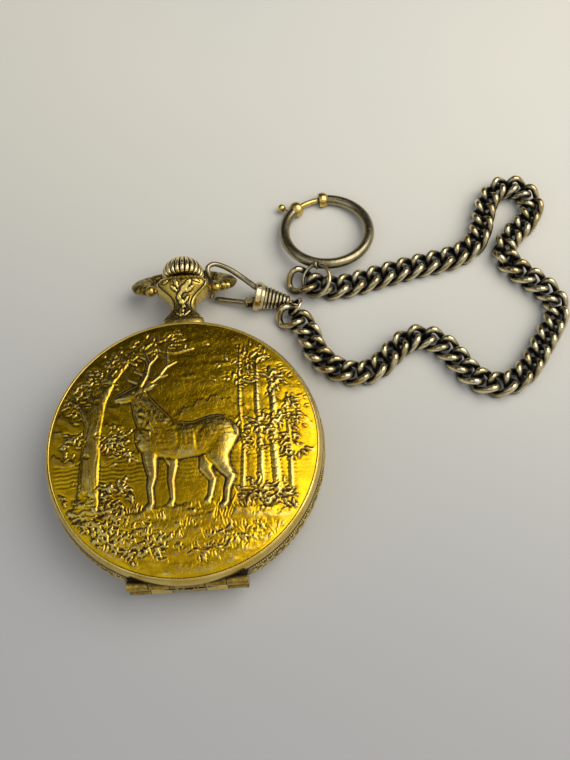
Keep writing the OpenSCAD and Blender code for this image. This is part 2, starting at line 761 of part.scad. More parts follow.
module barrel() {
    color("gold") at_xy(barrel_c, barrel_z) difference() {
        union() {
            linear_extrude(0.6) toothed(m_barrel, n_barrel, barrel_a, tip = 0.14);
            rod(drum_r, barrel_h, 96);
        }
        translate([0, 0, -1]) rod(drum_r - 0.35, lid_t + 1, 96);
        rod(drum_r - drum_wall, barrel_h - drum_floor, 96);
        rod(0.9 + run, barrel_h + 1, 32);
    }
}

module barrel_lid() {
    color("gold") at_xy(barrel_c, barrel_z) difference() {
        rod(drum_r - 0.35 - press, lid_t, 96);
        translate([0, 0, -1]) rod(1.1 + run, 3, 32);
    }
}

// Mainspring between the barrel's wall and the arbor's core
module mainspring() {
    turns = 9;
    n = turns * 24;
    r0 = 2;
    step = (drum_r - drum_wall - press - spring_t - r0) / turns;
    color("steelblue") at_xy(barrel_c, barrel_z + lid_t + run)
        linear_extrude(barrel_h - drum_floor - lid_t - 2 * run) polygon(concat(
            [for (i = [0 : n]) polar(r0 + spring_t + step * i / 24, 15 * i)],
            [for (i = [n : -1 : 0]) polar(r0 + step * i / 24, 15 * i)]));
}

module centre_wheel() {
    color("gold") {
        at_xy(centre_c, centre_z) linear_extrude(wheel_t)
            spoked(m_centre, n_centre, centre_a, 5, 0.8, 1.3);
        at_xy(centre_c, train_z + 0.1) linear_extrude(centre_z - train_z)
            toothed(m_barrel, n_centre_p, centre_p_a, up = 0.8, down = 1.1, foot = 0.34, tip = 0.12);
        at_xy(centre_c, bridge_z + 0.3) rod(0.6, train_z - bridge_z, 32);
        at_xy(centre_c, centre_z) rod(0.4, dial_top + 0.9 - centre_z, 32);
    }
}

module third_wheel() {
    color("gold") {
        at_xy(third_c, third_z) linear_extrude(wheel_t)
            spoked(m_third, n_third, third_a, 4, 0.6, 0.9);
        at_xy(third_c, third_z) rod(0.5, centre_z - third_z - 0.1);
        at_xy(third_c, centre_z - 0.15) linear_extrude(0.5)
            toothed(m_centre, n_third_p, third_p_a, up = 0.8, down = 1.1, foot = 0.34, tip = 0.12);
        arbor(third_c);
    }
}

module fourth_wheel() {
    color("gold") {
        at_xy(fourth_c, fourth_z) linear_extrude(wheel_t)
            spoked(m_fourth, n_fourth, fourth_a, 4, 0.5, 0.8);
        at_xy(fourth_c, third_z - 0.15) linear_extrude(fourth_z - third_z + 0.15)
            toothed(m_third, n_fourth_p, fourth_p_a, up = 0.8, down = 1.1, foot = 0.34, tip = 0.12);
        arbor(fourth_c, z1 = dial_top + 0.05);
    }
}

module escape_wheel() {
    p = 360 / n_escape;
    r = 3.2;
    color("gold") {
        at_xy(escape_c, escape_z) linear_extrude(0.2) difference() {
            polygon([for (i = [0 : n_escape - 1]) each [polar(r - 0.9, p * i), polar(r - 0.45, p * (i + 0.5)),
                polar(r, p * (i + 0.74)), polar(r, p * (i + 0.8)), polar(r - 0.9, p * (i + 0.86))]]);
            difference() {
                circle(r - 1.2, $fn = 48);
                circle(0.6, $fn = 24);
                for (i = [0 : 3]) rotate(90 * i) translate([0, -0.15]) square([r - 1, 0.3]);
            }
        }
        at_xy(escape_c, fourth_z - 0.1) linear_extrude(escape_z - fourth_z + 0.1)
            toothed(m_fourth, n_escape_p, escape_p_a, up = 0.8, down = 1, foot = 0.34, tip = 0.12);
        arbor(escape_c);
    }
}

fork_len = norm(balance_c - fork_c);
pin_orbit = 1.15;
module pallet_fork() {
    color("silver") at_xy(fork_c, escape_z - 0.05) rotate(bearing(fork_c, balance_c)) {
        linear_extrude(0.3) difference() {
            union() {
                circle(0.55, $fn = 24);
                translate([0, -0.22]) square([fork_len - pin_orbit - 0.5, 0.44]);
                translate([fork_len - pin_orbit - 1.1, -0.55]) square([0.7, 1.1]);
                polygon([[0.3, -0.5], [0.3, 0.5], [-0.75, 1.9], [-1.25, 2.05], [-1.2, 1.45], [-0.35, 0],
                    [-1.2, -1.45], [-1.25, -2.05], [-0.75, -1.9]]);
            }
            translate([fork_len - pin_orbit - 0.75, -0.22]) square([1, 0.44]);
        }
    }
    color("silver") arbor(fork_c, z0 = train_z + 0.4);
}

module balance_wheel() {
    r = balance_r;
    color("gold") at_xy(balance_c, balance_z) {
        difference() {
            union() {
                rod(r - 0.25, 0.7, 96);
                for (i = [0 : 13]) rotate(i * 360 / 14 + 12) translate([r - 0.4, 0, 0.35])
                    rotate([0, 90, 0]) rod(0.22, 0.4, 16);
            }
            translate([0, 0, -1]) rod(r - 0.95, 3, 96);
        }
        translate([-r + 0.6, -0.3, 0.25]) cube([2 * r - 1.2, 0.6, 0.35]);
        translate([0, 0, -0.6]) rod(0.5, 1.5);
        translate([0, 0, -1.15]) rod(0.12, under_dial - balance_z + 0.85, 16);
        translate([0, 0, 0.5]) rod(0.4, plate_z - balance_z - 0.8);
        translate([0, 0, escape_z - balance_z - 0.55]) {
            rod(1.15, 0.3, 32);
            rotate(bearing(balance_c, fork_c)) translate([pin_orbit - 0.3, 0, 0]) rod(0.15, 0.7, 16);
        }
    }
}

// Flat spiral spring from the balance's collet out to its stud
module hairspring() {
    turns = 9;
    r0 = 0.62;
    step = 0.34;
    n = turns * 24;
    blade = 0.06;
    function turn_r(i) = r0 + step * i / 24;
    color("steelblue") at_xy(balance_c, balance_z - 0.5) linear_extrude(0.22) polygon(concat(
        [for (i = [0 : n]) polar(turn_r(i) + blade, 15 * i)],
        [for (i = [n : -1 : 0]) polar(turn_r(i), 15 * i)]));
}

// Motion work and dial

module cannon_pinion() {
    color("silver") at_xy(centre_c, under_dial + 0.08) difference() {
        union() {
            linear_extrude(0.3)
                toothed(m_cannon, n_cannon, cannon_a, up = 0.8, down = 1.1, foot = 0.36, tip = 0.12);
            rod(0.56, dial_top + 0.9 - under_dial, 32);
        }
        translate([0, 0, -1]) rod(0.4 + 0.02, 6, 32);
    }
}

module minute_wheel() {
    color("gold") at_xy(minute_c, under_dial + 0.08) difference() {
        union() {
            linear_extrude(0.2) toothed(m_cannon, n_minute, minute_a, tip = 0.12);
            linear_extrude(0.55)
                toothed(m_hour, n_minute_p, minute_p_a, up = 0.8, down = 1.1, foot = 0.34, tip = 0.12);
        }
        translate([0, 0, -1]) rod(0.3 + 0.02, 4);
    }
}

module hour_wheel() {
    color("gold") at_xy(centre_c, under_dial + 0.42) difference() {
        union() {
            linear_extrude(0.18) toothed(m_hour, n_hour, hour_a, tip = 0.12);
            rod(0.9, dial_top + 0.4 - under_dial - 0.42, 32);
        }
        translate([0, 0, -1]) rod(0.56 + run, 6, 32);
    }
}

// White dial with a sunk seconds ring, held in the band's seat
seconds_sink = 0.15;
module dial() {
    color("white") translate([0, 0, dial_z + run]) difference() {
        rod(dial_r, dial_t - run, 160);
        translate([0, 0, -1]) rod(1.1, 3, 32);
        at_xy(fourth_c, -1) rod(arbor_r + 0.2, 3);
        at_xy(fourth_c, dial_t - run - seconds_sink) rod(4.4, 1, 96);
    }
}

// A hand of pear shape: hub, waist, bulb and point
module hand(len, hub, waist, bulb, t) {
    linear_extrude(t) difference() {
        union() {
            circle(hub, $fn = 32);
            polygon([[0, -waist], [len * 0.55, -waist * 0.8], [len * 0.62, -bulb], [len * 0.7, -bulb],
                [len * 0.82, -waist * 0.7], [len, 0], [len * 0.82, waist * 0.7], [len * 0.7, bulb],
                [len * 0.62, bulb], [len * 0.55, waist * 0.8], [0, waist]]);
            polygon([[0, -waist], [0, waist], [-hub - 1.4, waist * 1.2], [-hub - 1.4, -waist * 1.2]]);
        }
    }
}

// Ten past ten: the dial's twelve is at the left, a quarter turn from the pendant
hour_at = 180 - 305;
minute_at = 180 - 60;
seconds_at = 180 - 210;

module hour_hand() {
    color("midnightblue") at_xy(centre_c, dial_top + 0.15) difference() {
        rotate(hour_at) hand(hour_len, 1.5, 0.35, 0.95, 0.16);
        translate([0, 0, -1]) rod(0.9 + 0.02, 3, 32);
    }
}

module minute_hand() {
    color("midnightblue") at_xy(centre_c, dial_top + 0.6) difference() {
        rotate(minute_at) hand(minute_len, 1.2, 0.3, 0.85, 0.16);
        translate([0, 0, -1]) rod(0.56 + 0.02, 3, 32);
    }
}

module seconds_hand() {
    color("midnightblue") at_xy(fourth_c, dial_top - seconds_sink + 0.1) difference() {
        rotate(seconds_at) hand(seconds_len, 0.55, 0.12, 0.12, 0.1);
        translate([0, 0, -1]) rod(arbor_r + 0.02, 3, 16);
    }
}

// Bow and clip

// Place in the frame of the folded bow: x across, v away from the pivots
function bow_point(x, v) = [x, pivot_y + v * cos(bow_tilt), mid - v * sin(bow_tilt)];

bow_path = [[6.5, 0.2], [8, 0.9], [9.3, 2.3], [8.9, 4], [7.2, 5.6], [4.6, 7.2], [2.2, 8.4], [0, 8.7]];

module bow() {
    half = smooth_line([for (p = bow_path) bow_point(p[0], p[1])], 2);
    n = len(half);
    path = concat(half, [for (i = [n - 2 : -1 : 0]) [-half[i][0], half[i][1], half[i][2]]]);
    m = len(path);
    radii = [for (i = [0 : m - 1]) let (t = abs(2 * i / (m - 1) - 1))
        0.88 + (bow_wire_r - 0.88) * t + bow_swell * max(0, 1 - pow((t - 0.72) / 0.22, 2))];
    color("gold") {
        wire(path, radii, 8);
        for (s = [0, 1]) mirror([s, 0, 0]) translate([0, pivot_y, mid]) {
            translate([pendant_w + gap + 1.1, 0, 0]) sphere(1.1, $fn = 32);
            rod_x(bow_pin_r, pendant_w - 1.4, pendant_w + 1.2);
        }
    }
}

// Clip places, measured from the bow pivots
clip_big = [14, -0.7, ferrule_r + run];
clip_small = [20.9, -2, 1.75];
hook_root = [[15.6, 0.35, 3.5], [14.2, 0.85, 3.95]];
gate_pin = [12.2, -1.6, 1.9];
hook_r = 0.6;
clip_eye = clip_small + unit(clip_small - clip_big) * 1.17;
clip_eye_n = [0.249, 0.56, 0.79];
clip_ring_r = 1.8;
clip_ring_at = [22.043, -3.716, 2.536];
clip_ring_n = [-0.759, 0.355, 0.546];
function at_pivot(p) = [p[0], p[1] + pivot_y, p[2]];

module along(a, b) {
    d = b - a;
    translate(a) rotate([0, acos(d[2] / norm(d)), atan2(d[1], d[0])]) children();
}

// Turns the z axis to n
module facing(n) {
    rotate([0, acos(n[2] / norm(n)), atan2(n[1], n[0])]) children();
}

module torus(r, t, sides = 20) { rotate_extrude($fn = 40) translate([r, 0]) circle(t, $fn = sides); }

module clip_hook() {
    bend = smooth_line([for (p = [hook_root[0], hook_root[1], [11.8, 2.9, 4.3], [9, 4.8, 5.1], [6.4, 5.7, 5.7],
        [5, 4.7, 6.1], [5.15, 3.3, 5.2], [5.4, 2.3, 3.6], [5.4, 1.5, 2], [5.1, 0.5, 1.1]]) at_pivot(p)], 3);
    n = len(bend);
    color("silver") wire(bend, [for (i = [0 : n - 1]) hook_r - 0.2 * min(1, 2 * i / n)], 8);
}

module clip_gate() {
    a = at_pivot([5.9, 0.2, 1.1]);
    b = at_pivot(gate_pin);
    color("silver") difference() {
        union() {
            along(a, b) rod(0.42, norm(b - a), 16);
            translate(b) sphere(0.7, $fn = 24);
        }
        translate(b) rod_z(0.3 + run);
    }
}
module rod_z(r) { translate([0, 0, -3]) rod(r, 6); }

// Ribbed ferrule with the hook's socket, the gate's fork and an eye for the ring
module clip_ferrule() {
    a = at_pivot(clip_big);
    b = at_pivot(clip_small);
    l = norm(b - a);
    ribs = 7;
    start = 1.9;
    pitch = (l - start) / ribs;
    function cone(t) = ferrule_r - (ferrule_r - 1.3) * t / l;
    profile = concat([[0, 0], [ferrule_r - 0.2, 0], [ferrule_r, 0.2], [ferrule_r, 1], [ferrule_r - 0.3, 1.4],
        [cone(start) - 0.05, start]],
        [for (i = [0 : ribs - 1], k = [0 : 3])
            let (t = start + pitch * (i + k / 4)) [cone(t) - [0.36, 0.06, 0, 0.06][k], t]],
        [[1, l], [0.5, l + 0.2], [0.5, l + 0.45], [0, l + 0.45]]);
    color("silver") {
        difference() {
            along(a, b) rotate_extrude($fn = 40) polygon(profile);
            along(at_pivot(hook_root[1]), at_pivot(hook_root[0]))
                translate([0, 0, -3]) rod(hook_r + run, 3 + norm(hook_root[1] - hook_root[0]) + 0.1);
        }
        translate(at_pivot(clip_eye)) facing(clip_eye_n) torus(0.74, 0.25);
    }
    color("goldenrod") translate(at_pivot(gate_pin)) {
        translate([0, 0, -1.15]) rod(0.3, 2.3);
        translate([0, -0.55, 0.8]) cube([2.2, 1.1, 0.45]);
        translate([0, -0.55, -1.25]) cube([2.2, 1.1, 0.4]);
    }
}

// Chain

function link_path(l, w, h, n = 12) =
    [for (i = [0 : n - 1]) let (a = 360 * i / n) [l / 2 * cos(a), w / 2 * sin(a), -h * sin(2 * a)]];

line = smooth_line(route, curve_steps);
reach = [for (i = 0, s = 0; i < len(line); s = s + (i < len(line) - 1 ? norm(line[i + 1] - line[i]) : 0),
    i = i + 1) s];
chain_len = reach[len(reach) - 1];
links = floor(chain_len / link_pitch);
pitch_len = chain_len / links;

function on_line(u, i = 0) = i >= len(line) - 2 || reach[i + 1] >= u
    ? line[i] + (line[i + 1] - line[i]) * (u - reach[i]) / (reach[i + 1] - reach[i])
    : on_line(u, i + 1);

// Puts its children at link i, with +X along the chain
module at_link(i) {
    a = on_line(i * pitch_len);
    b = on_line((i + 1) * pitch_len);
    c = ((a + b) / 2 + on_line((i + 0.5) * pitch_len)) / 2;
    translate([c[0], c[1] + pivot_y, link_twist + wire_r]) rotate([0, 0, bearing(a, b)]) children();
}

module chain(from, to) {
    color("gainsboro") for (i = [from : to - 1]) at_link(i)
        wire_loop(link_path(link_len, link_w, link_twist), wire_r);
}

module chain_links_near() { chain(0, floor(links / 4)); }
module chain_links_bend() { chain(floor(links / 4), floor(links / 2)); }
module chain_links_loop() { chain(floor(links / 2), floor(links * 3 / 4)); }

// The last link is the larger one that holds the jump ring
module chain_links_far() {
    chain(floor(links * 3 / 4), links - 1);
    color("gainsboro") at_link(links - 1) translate([(end_len - link_len) / 2, 0, 0])
        wire_loop(link_path(end_len, end_w, link_twist), wire_r);
}

module clip_ring() {
    color("gainsboro") translate(at_pivot(clip_ring_at)) facing(clip_ring_n) torus(clip_ring_r, 0.34);
}

// Bolt ring

ring_tilt = 8;
ring_c = [29.9, 14.1, tube_r + ring_r * sin(ring_tilt)];
gap_a0 = 96;
gap_a1 = 127;
knob_a = 141;
eye_a = 253.47;
eye_lean = 50.22;
eye_turn = 20.03;
jump_r = 3.2;
jump_at = [26.701, 1.496, 3.8];
jump_n = [-0.573, -0.219, 0.79];
module at_ring() { translate(at_pivot(ring_c)) rotate([-ring_tilt, 0, 0]) children(); }

module arc(r, t, a0, a1, sides = 32) {
    rotate([0, 0, a0]) rotate_extrude(angle = a1 - a0, $fn = 120)
        translate([r, 0]) circle(t, $fn = sides);
}

module ring_tube() {
    color("lightgray") at_ring() difference() {
        arc(ring_r, tube_r, gap_a1, gap_a0 + 360);
        arc(ring_r, bolt_r + run, gap_a1 - 1, 205, 24);
        arc(ring_r, bolt_r + run, gap_a0 - 6, gap_a0 + 1, 24);
        rotate([0, 0, knob_a - 5]) rotate_extrude(angle = 40, $fn = 120)
            translate([ring_r, -0.3]) square([2, 0.6]);
    }
    color("goldenrod") at_ring() rotate([0, 0, eye_a]) translate([ring_r, 0, 0]) rotate([0, eye_lean, 0])
        translate([0, 0, tube_r + 0.68]) rotate([90, 0, eye_turn]) torus(0.78, 0.25);
}

// A round collar on the end of the tube at angle a, on the side that way points to
module collar(a, way) {
    from = way > 0 ? a : a - 20;
    difference() {
        intersection() {
            rotate([0, 0, a + way * 4.5]) translate([ring_r, 0, 0]) sphere(tube_r + 0.55, $fn = 40);
            rotate([0, 0, from]) rotate_extrude(angle = 20, $fn = 120) translate([ring_r - 3, -3]) square(6);
        }
        arc(ring_r, tube_r + 0.02, from - 1, from + 21);
    }
}

module ring_collars() {
    color("goldenrod") at_ring() {
        collar(gap_a1, 1);
        collar(gap_a0, -1);
    }
}

module ring_bolt() {
    color("goldenrod") at_ring() {
        arc(ring_r, bolt_r, gap_a0 - 4, 170, 24);
        rotate([0, 0, knob_a]) translate([ring_r, 0, 0]) {
            rod_x(0.24, 0, 2.4, 20);
            translate([2.75, 0, 0]) sphere(0.85, $fn = 24);
        }
    }
}

module jump_ring() {
    color("gainsboro") translate(at_pivot(jump_at)) facing(jump_n) torus(jump_r, 0.37, 24);
}

case_band();
pendant();
front_cover();
back_cover();
front_hinge_pin();
back_hinge_pin();
bezel();
crystal();
crown();
winding_stem();
bow();
cover_catch();
cover_spring();
case_screws();
mainplate();
barrel_bridge();
train_bridge();
balance_cock();
bridge_screws();
jewels();
barrel();
barrel_lid();
mainspring();
ratchet_wheel();
crown_wheel();
winding_pinion();
click();
centre_wheel();
third_wheel();
fourth_wheel();
escape_wheel();
pallet_fork();
balance_wheel();
hairspring();
cannon_pinion();
minute_wheel();
hour_wheel();
dial();
hour_hand();
minute_hand();
seconds_hand();
clip_hook();
clip_gate();
clip_ferrule();
clip_ring();
chain_links_near();
chain_links_bend();
chain_links_loop();
chain_links_far();
jump_ring();
ring_tube();
ring_collars();
ring_bolt();
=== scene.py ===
"""Looks of a full hunter pocket watch with its spring clip, curb chain and bolt ring.

Sizes in the classes are millimetres in the CAD model's frame: +Y towards the pendant,
+Z towards the front cover. Meshes are written in metres.
"""
import logging
import math
from dataclasses import dataclass, field
from enum import Enum
from typing import Callable, Optional, Sequence

import bmesh
import bpy
import numpy as np
from mathutils import Matrix, Vector


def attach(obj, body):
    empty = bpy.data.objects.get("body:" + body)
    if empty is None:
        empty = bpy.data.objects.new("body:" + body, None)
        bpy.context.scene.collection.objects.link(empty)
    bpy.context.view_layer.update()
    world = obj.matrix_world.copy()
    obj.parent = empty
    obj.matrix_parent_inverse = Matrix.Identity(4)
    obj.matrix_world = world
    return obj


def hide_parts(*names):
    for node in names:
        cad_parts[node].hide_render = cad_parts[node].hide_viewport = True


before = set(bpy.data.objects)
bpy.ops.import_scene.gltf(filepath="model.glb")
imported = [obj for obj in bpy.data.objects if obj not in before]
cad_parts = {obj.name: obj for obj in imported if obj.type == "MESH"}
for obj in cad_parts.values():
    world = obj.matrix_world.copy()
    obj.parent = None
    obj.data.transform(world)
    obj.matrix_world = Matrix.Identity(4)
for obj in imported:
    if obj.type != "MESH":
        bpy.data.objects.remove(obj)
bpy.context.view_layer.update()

LOG = logging.getLogger("pocket_watch")
MM = 0.001
SEED = 11

# Sizes that the CAD model and the looks share
CASE_R = 25.0
BAND_LO = 3.9
BAND_HI = 8.5
MID_Z = 6.2
TOP_Z = 13.0
DOME_R = 24.0
FIELD_R = 24.0
LIP_R = 24.9
HINGE_Y = 24.2
HINGE_DROP = 0.55
PIVOT_Y = 34.2
DIAL_TOP = 9.55
SECONDS_X = 9.6

Colour = tuple[float, float, float]


# Meshes


def unit(v: np.ndarray) -> np.ndarray:
    """Returns the vector at length one."""
    return v / np.linalg.norm(v)


def smooth_line(points: Sequence[Sequence[float]], steps: int) -> np.ndarray:
    """Runs a Catmull-Rom curve through points.

    Args:
        points: Points to pass through.
        steps: Samples from one point to the next.

    Returns:
        The samples, the last point included.
    """
    p = np.asarray(points, float)
    n = len(p) - 1
    out = []
    for i in range(n):
        a, b, c, d = p[max(i - 1, 0)], p[i], p[i + 1], p[min(i + 2, n)]
        for k in range(steps):
            t = k / steps
            out.append(0.5 * (2 * b + (c - a) * t + (2 * a - 5 * b + 4 * c - d) * t * t
                              + (3 * b - a - 3 * c + d) * t ** 3))
    out.append(p[n])
    return np.array(out)


def grid_faces(rows: int, cols: int, wrap: bool = True, close: bool = False) -> np.ndarray:
    """Quads of a grid of points that is stored row by row.

    Args:
        rows: Number of rows.
        cols: Number of points in a row.
        wrap: Whether each row closes on itself.
        close: Whether the last row joins the first.

    Returns:
        An array of quads.
    """
    last_row = rows if close else rows - 1
    last_col = cols if wrap else cols - 1
    i, k = np.meshgrid(np.arange(last_row), np.arange(last_col), indexing="ij")
    j, m = (i + 1) % rows, (k + 1) % cols
    quads = np.stack([i * cols + k, i * cols + m, j * cols + m, j * cols + k], -1)
    return quads.reshape(-1, 4)


def mesh_piece(name: str, points: np.ndarray, faces: Sequence, smooth: bool = True,
               masks: Optional[dict[str, np.ndarray]] = None) -> bpy.types.Object:
    """Makes a mesh object from points in millimetres.

    Args:
        name: Name of the object.
        points: Points, one to a row.
        faces: Faces as lists of point numbers.
        smooth: Whether the faces are shaded smooth.
        masks: Values from 0 to 1 at each point, by name, for the materials.

    Returns:
        The object, in the scene.
    """
    mesh = bpy.data.meshes.new(name)
    face_list = faces.tolist() if isinstance(faces, np.ndarray) else faces
    mesh.from_pydata((np.asarray(points, float) * MM).tolist(), [], face_list)
    for mask, values in (masks or {}).items():
        layer = mesh.attributes.new(mask, "FLOAT", "POINT")
        layer.data.foreach_set("value", np.asarray(values, np.float32).ravel())
    mesh.polygons.foreach_set("use_smooth", [smooth] * len(mesh.polygons))
    mesh.update()
    piece = bpy.data.objects.new(name, mesh)
    bpy.context.scene.collection.objects.link(piece)
    return piece


def face_outward(piece: bpy.types.Object) -> None:
    """Turns the faces of a closed mesh outward.

    Args:
        piece: Object that holds the mesh.
    """
    work = bmesh.new()
    work.from_mesh(piece.data)
    bmesh.ops.recalc_face_normals(work, faces=work.faces)
    work.to_mesh(piece.data)
    work.free()


def relief_piece(name: str, points: np.ndarray, faces: Sequence, recess: np.ndarray,
                 raised: np.ndarray) -> bpy.types.Object:
    """Makes a closed mesh whose finish follows its recessed and raised places.

    Args:
        name: Name of the object.
        points: Points in millimetres, in any grid of rows.
        faces: Faces as lists of point numbers.
        recess: How deep each point lies, from 0 to 1.
        raised: How proud each point stands, from 0 to 1.

    Returns:
        The object, its faces outward.
    """
    piece = mesh_piece(name, points.reshape(-1, 3), faces, True,
                       {"recess": recess, "raised": raised})
    face_outward(piece)
    return piece


def circle(count: int) -> np.ndarray:
    """Angles of points spread evenly round a circle."""
    return np.arange(count) * 2 * math.pi / count


def bell(values: np.ndarray, width: float) -> np.ndarray:
    """Bell curve of height one over values, falling off within a width."""
    return np.exp(-(values / width) ** 2)


def share(values: np.ndarray) -> np.ndarray:
    """Values held between 0 and 1."""
    return np.clip(values, 0, 1)


def hump(values: np.ndarray, height: float, middle: float, half: float) -> np.ndarray:
    """Round hump over values, zero beyond half its width from its middle."""
    return height * share(1 - ((values - middle) / half) ** 2)


def round_z(profile: Sequence[Sequence[float]], angles: Sequence[float]) -> np.ndarray:
    """Rings of points round the z axis, one to each radius and height of a profile."""
    return np.array([[(r * math.cos(a), r * math.sin(a), z) for a in angles] for r, z in profile])


def level(x: np.ndarray, y: float, z: np.ndarray) -> np.ndarray:
    """Ring of points that all lie at one y."""
    return np.stack([x, np.full(len(x), y), z], -1)


def posed(point: Sequence[float], angle: float, axis: str = "Z") -> Matrix:
    """Place at a point, turned about an axis."""
    return Matrix.Translation(point) @ Matrix.Rotation(angle, 4, axis)


class Swept:
    """Points and faces gathered from swept wires, for one mesh."""

    def __init__(self) -> None:
        """Starts with no points."""
        self.points: list[np.ndarray] = []
        self.faces: list[list[int]] = []
        self.count = 0

    def rings(self, rings: np.ndarray, closed: bool) -> None:
        """Adds a skin over rings of points.

        Args:
            rings: Array of rings, each with the same number of points.
            closed: Whether the last ring joins the first; otherwise the ends are capped.
        """
        rows, cols, _ = rings.shape
        base = self.count
        self.points.append(rings.reshape(-1, 3))
        self.faces += (grid_faces(rows, cols, True, closed) + base).tolist()
        if not closed:
            self.faces.append([base + k for k in range(cols - 1, -1, -1)])
            self.faces.append([base + (rows - 1) * cols + k for k in range(cols)])
        self.count += rows * cols

    def wire(self, path: np.ndarray, radius: np.ndarray | float, sides: int = 16,
             closed: bool = False) -> None:
        """Sweeps a round section along a path without twist.

        Args:
            path: Points of the centreline.
            radius: Radius, or one for each point, or one for each point and side.
            sides: Points round the section.
            closed: Whether the path is a loop.
        """
        path = np.asarray(path, float)
        ways = np.roll(path, -1, 0) - np.roll(path, 1, 0) if closed else np.gradient(path, axis=0)
        ways /= np.linalg.norm(ways, axis=1)[:, None]
        upright = (1.0, 0.0, 0.0) if abs(ways[0][2]) > 0.9 else (0.0, 0.0, 1.0)
        side = unit(np.cross(ways[0], upright))
        sideways = []
        for point, way in zip(path, ways):
            if closed:
                side = point - path.mean(0)
            side = unit(side - way * (side @ way))
            sideways.append(side)
        across = np.array(sideways)
        up = np.cross(ways, across)
        angle = circle(sides)
        r = np.asarray(radius, float)
        r = np.broadcast_to(r[:, None] if r.ndim == 1 else r, (len(path), sides))
        ring = (path[:, None, :] + (r * np.cos(angle))[..., None] * across[:, None, :]
                + (r * np.sin(angle))[..., None] * up[:, None, :])
        self.rings(ring, closed)

    def turned(self, profile: Sequence[Sequence[float]], place: Matrix, sides: int = 48) -> None:
        """Adds a solid of revolution about its own z axis.

        Args:
            profile: Radius and height pairs, from one end to the other.
            place: Where the solid stands.
            sides: Points round the axis.
        """
        rings = round_z(profile, circle(sides))
        self.rings(placed(rings.reshape(-1, 3), place).reshape(rings.shape), False)

    def piece(self, name: str) -> bpy.types.Object:
        """Makes the object that holds all that was added, with its faces outward."""
        made = mesh_piece(name, np.concatenate(self.points), self.faces)
        face_outward(made)
        return made


def placed(points: np.ndarray, place: Matrix) -> np.ndarray:
    """Moves points by a matrix."""
    m = np.array(place)
    return points @ m[:3, :3].T + m[:3, 3]


# Shader nodes


class Graph:
    """Adds nodes to a shader tree and links them by the names of their sockets."""

    def __init__(self, tree: bpy.types.NodeTree) -> None:
        """Keeps the tree to build in."""
        self.tree = tree

    def add(self, kind: str, values: Optional[dict] = None, **settings: object) -> bpy.types.Node:
        """Adds a node.

        Args:
            kind: Blender's name of the node, without ShaderNode.
            values: Numbers, colours or sockets, by input name or number.
            **settings: Properties of the node.

        Returns:
            The node.
        """
        node = self.tree.nodes.new("ShaderNode" + kind)
        for key, value in settings.items():
            setattr(node, key, value)
        for key, value in (values or {}).items():
            socket = node.inputs[key]
            if isinstance(value, bpy.types.NodeSocket):
                self.tree.links.new(value, socket)
            elif isinstance(value, tuple) and len(value) == 3 and socket.type == "RGBA":
                socket.default_value = (*value, 1.0)
            else:
                socket.default_value = value
        return node

    def math(self, operation: str, a: object, b: object = 0.0, clamp: bool = False) -> object:
        """Returns the result of a Math node."""
        return self.add("Math", {0: a, 1: b}, operation=operation, use_clamp=clamp).outputs[0]

    def plus(self, a: object, b: object, clamp: bool = False) -> object:
        """Returns a sum."""
        return self.math("ADD", a, b, clamp)

    def minus(self, a: object, b: object, clamp: bool = False) -> object:
        """Returns a difference."""
        return self.math("SUBTRACT", a, b, clamp)

    def times(self, a: object, b: object) -> object:
        """Returns a product."""
        return self.math("MULTIPLY", a, b)

    def mix(self, part: object, a: object, b: object) -> object:
        """Returns the colour of a Mix node."""
        return self.add("Mix", {0: part, 6: a, 7: b}, data_type="RGBA").outputs[2]

    def ramp(self, value: object, low: object, high: object, to_low: float = 0.0,
             to_high: float = 1.0) -> object:
        """Returns a value brought smoothly from one range to another."""
        return self.add("MapRange", {0: value, 1: low, 2: high, 3: to_low, 4: to_high},
                        interpolation_type="SMOOTHSTEP").outputs[0]

    def dot(self, vector: object, way: Sequence[float]) -> object:
        """Returns how far a vector goes along a fixed way."""
        return self.add("VectorMath", {0: vector, 1: tuple(way)},
                        operation="DOT_PRODUCT").outputs["Value"]

    def scaled(self, vector: object, factor: object) -> object:
        """Returns a vector times a factor."""
        return self.add("VectorMath", {0: vector, "Scale": factor}, operation="SCALE").outputs[0]

    def millimetres(self) -> object:
        """Returns object coordinates in millimetres."""
        return self.scaled(self.add("TexCoord").outputs["Object"], 1 / MM)

    def noise(self, where: object, scale: float, detail: float = 3.0,
              rough: float = 0.55) -> object:
        """Returns the value of a Noise node, its scale counted per millimetre."""
        return self.add("TexNoise", {"Vector": where, "Scale": scale, "Detail": detail,
                                     "Roughness": rough}).outputs["Fac"]

    def bump(self, strength: float, distance: float, **values: object) -> object:
        """Returns the normal of a Bump node, its distance in millimetres."""
        return self.add("Bump", {"Strength": strength, "Distance": distance * MM,
                                 **values}).outputs[0]


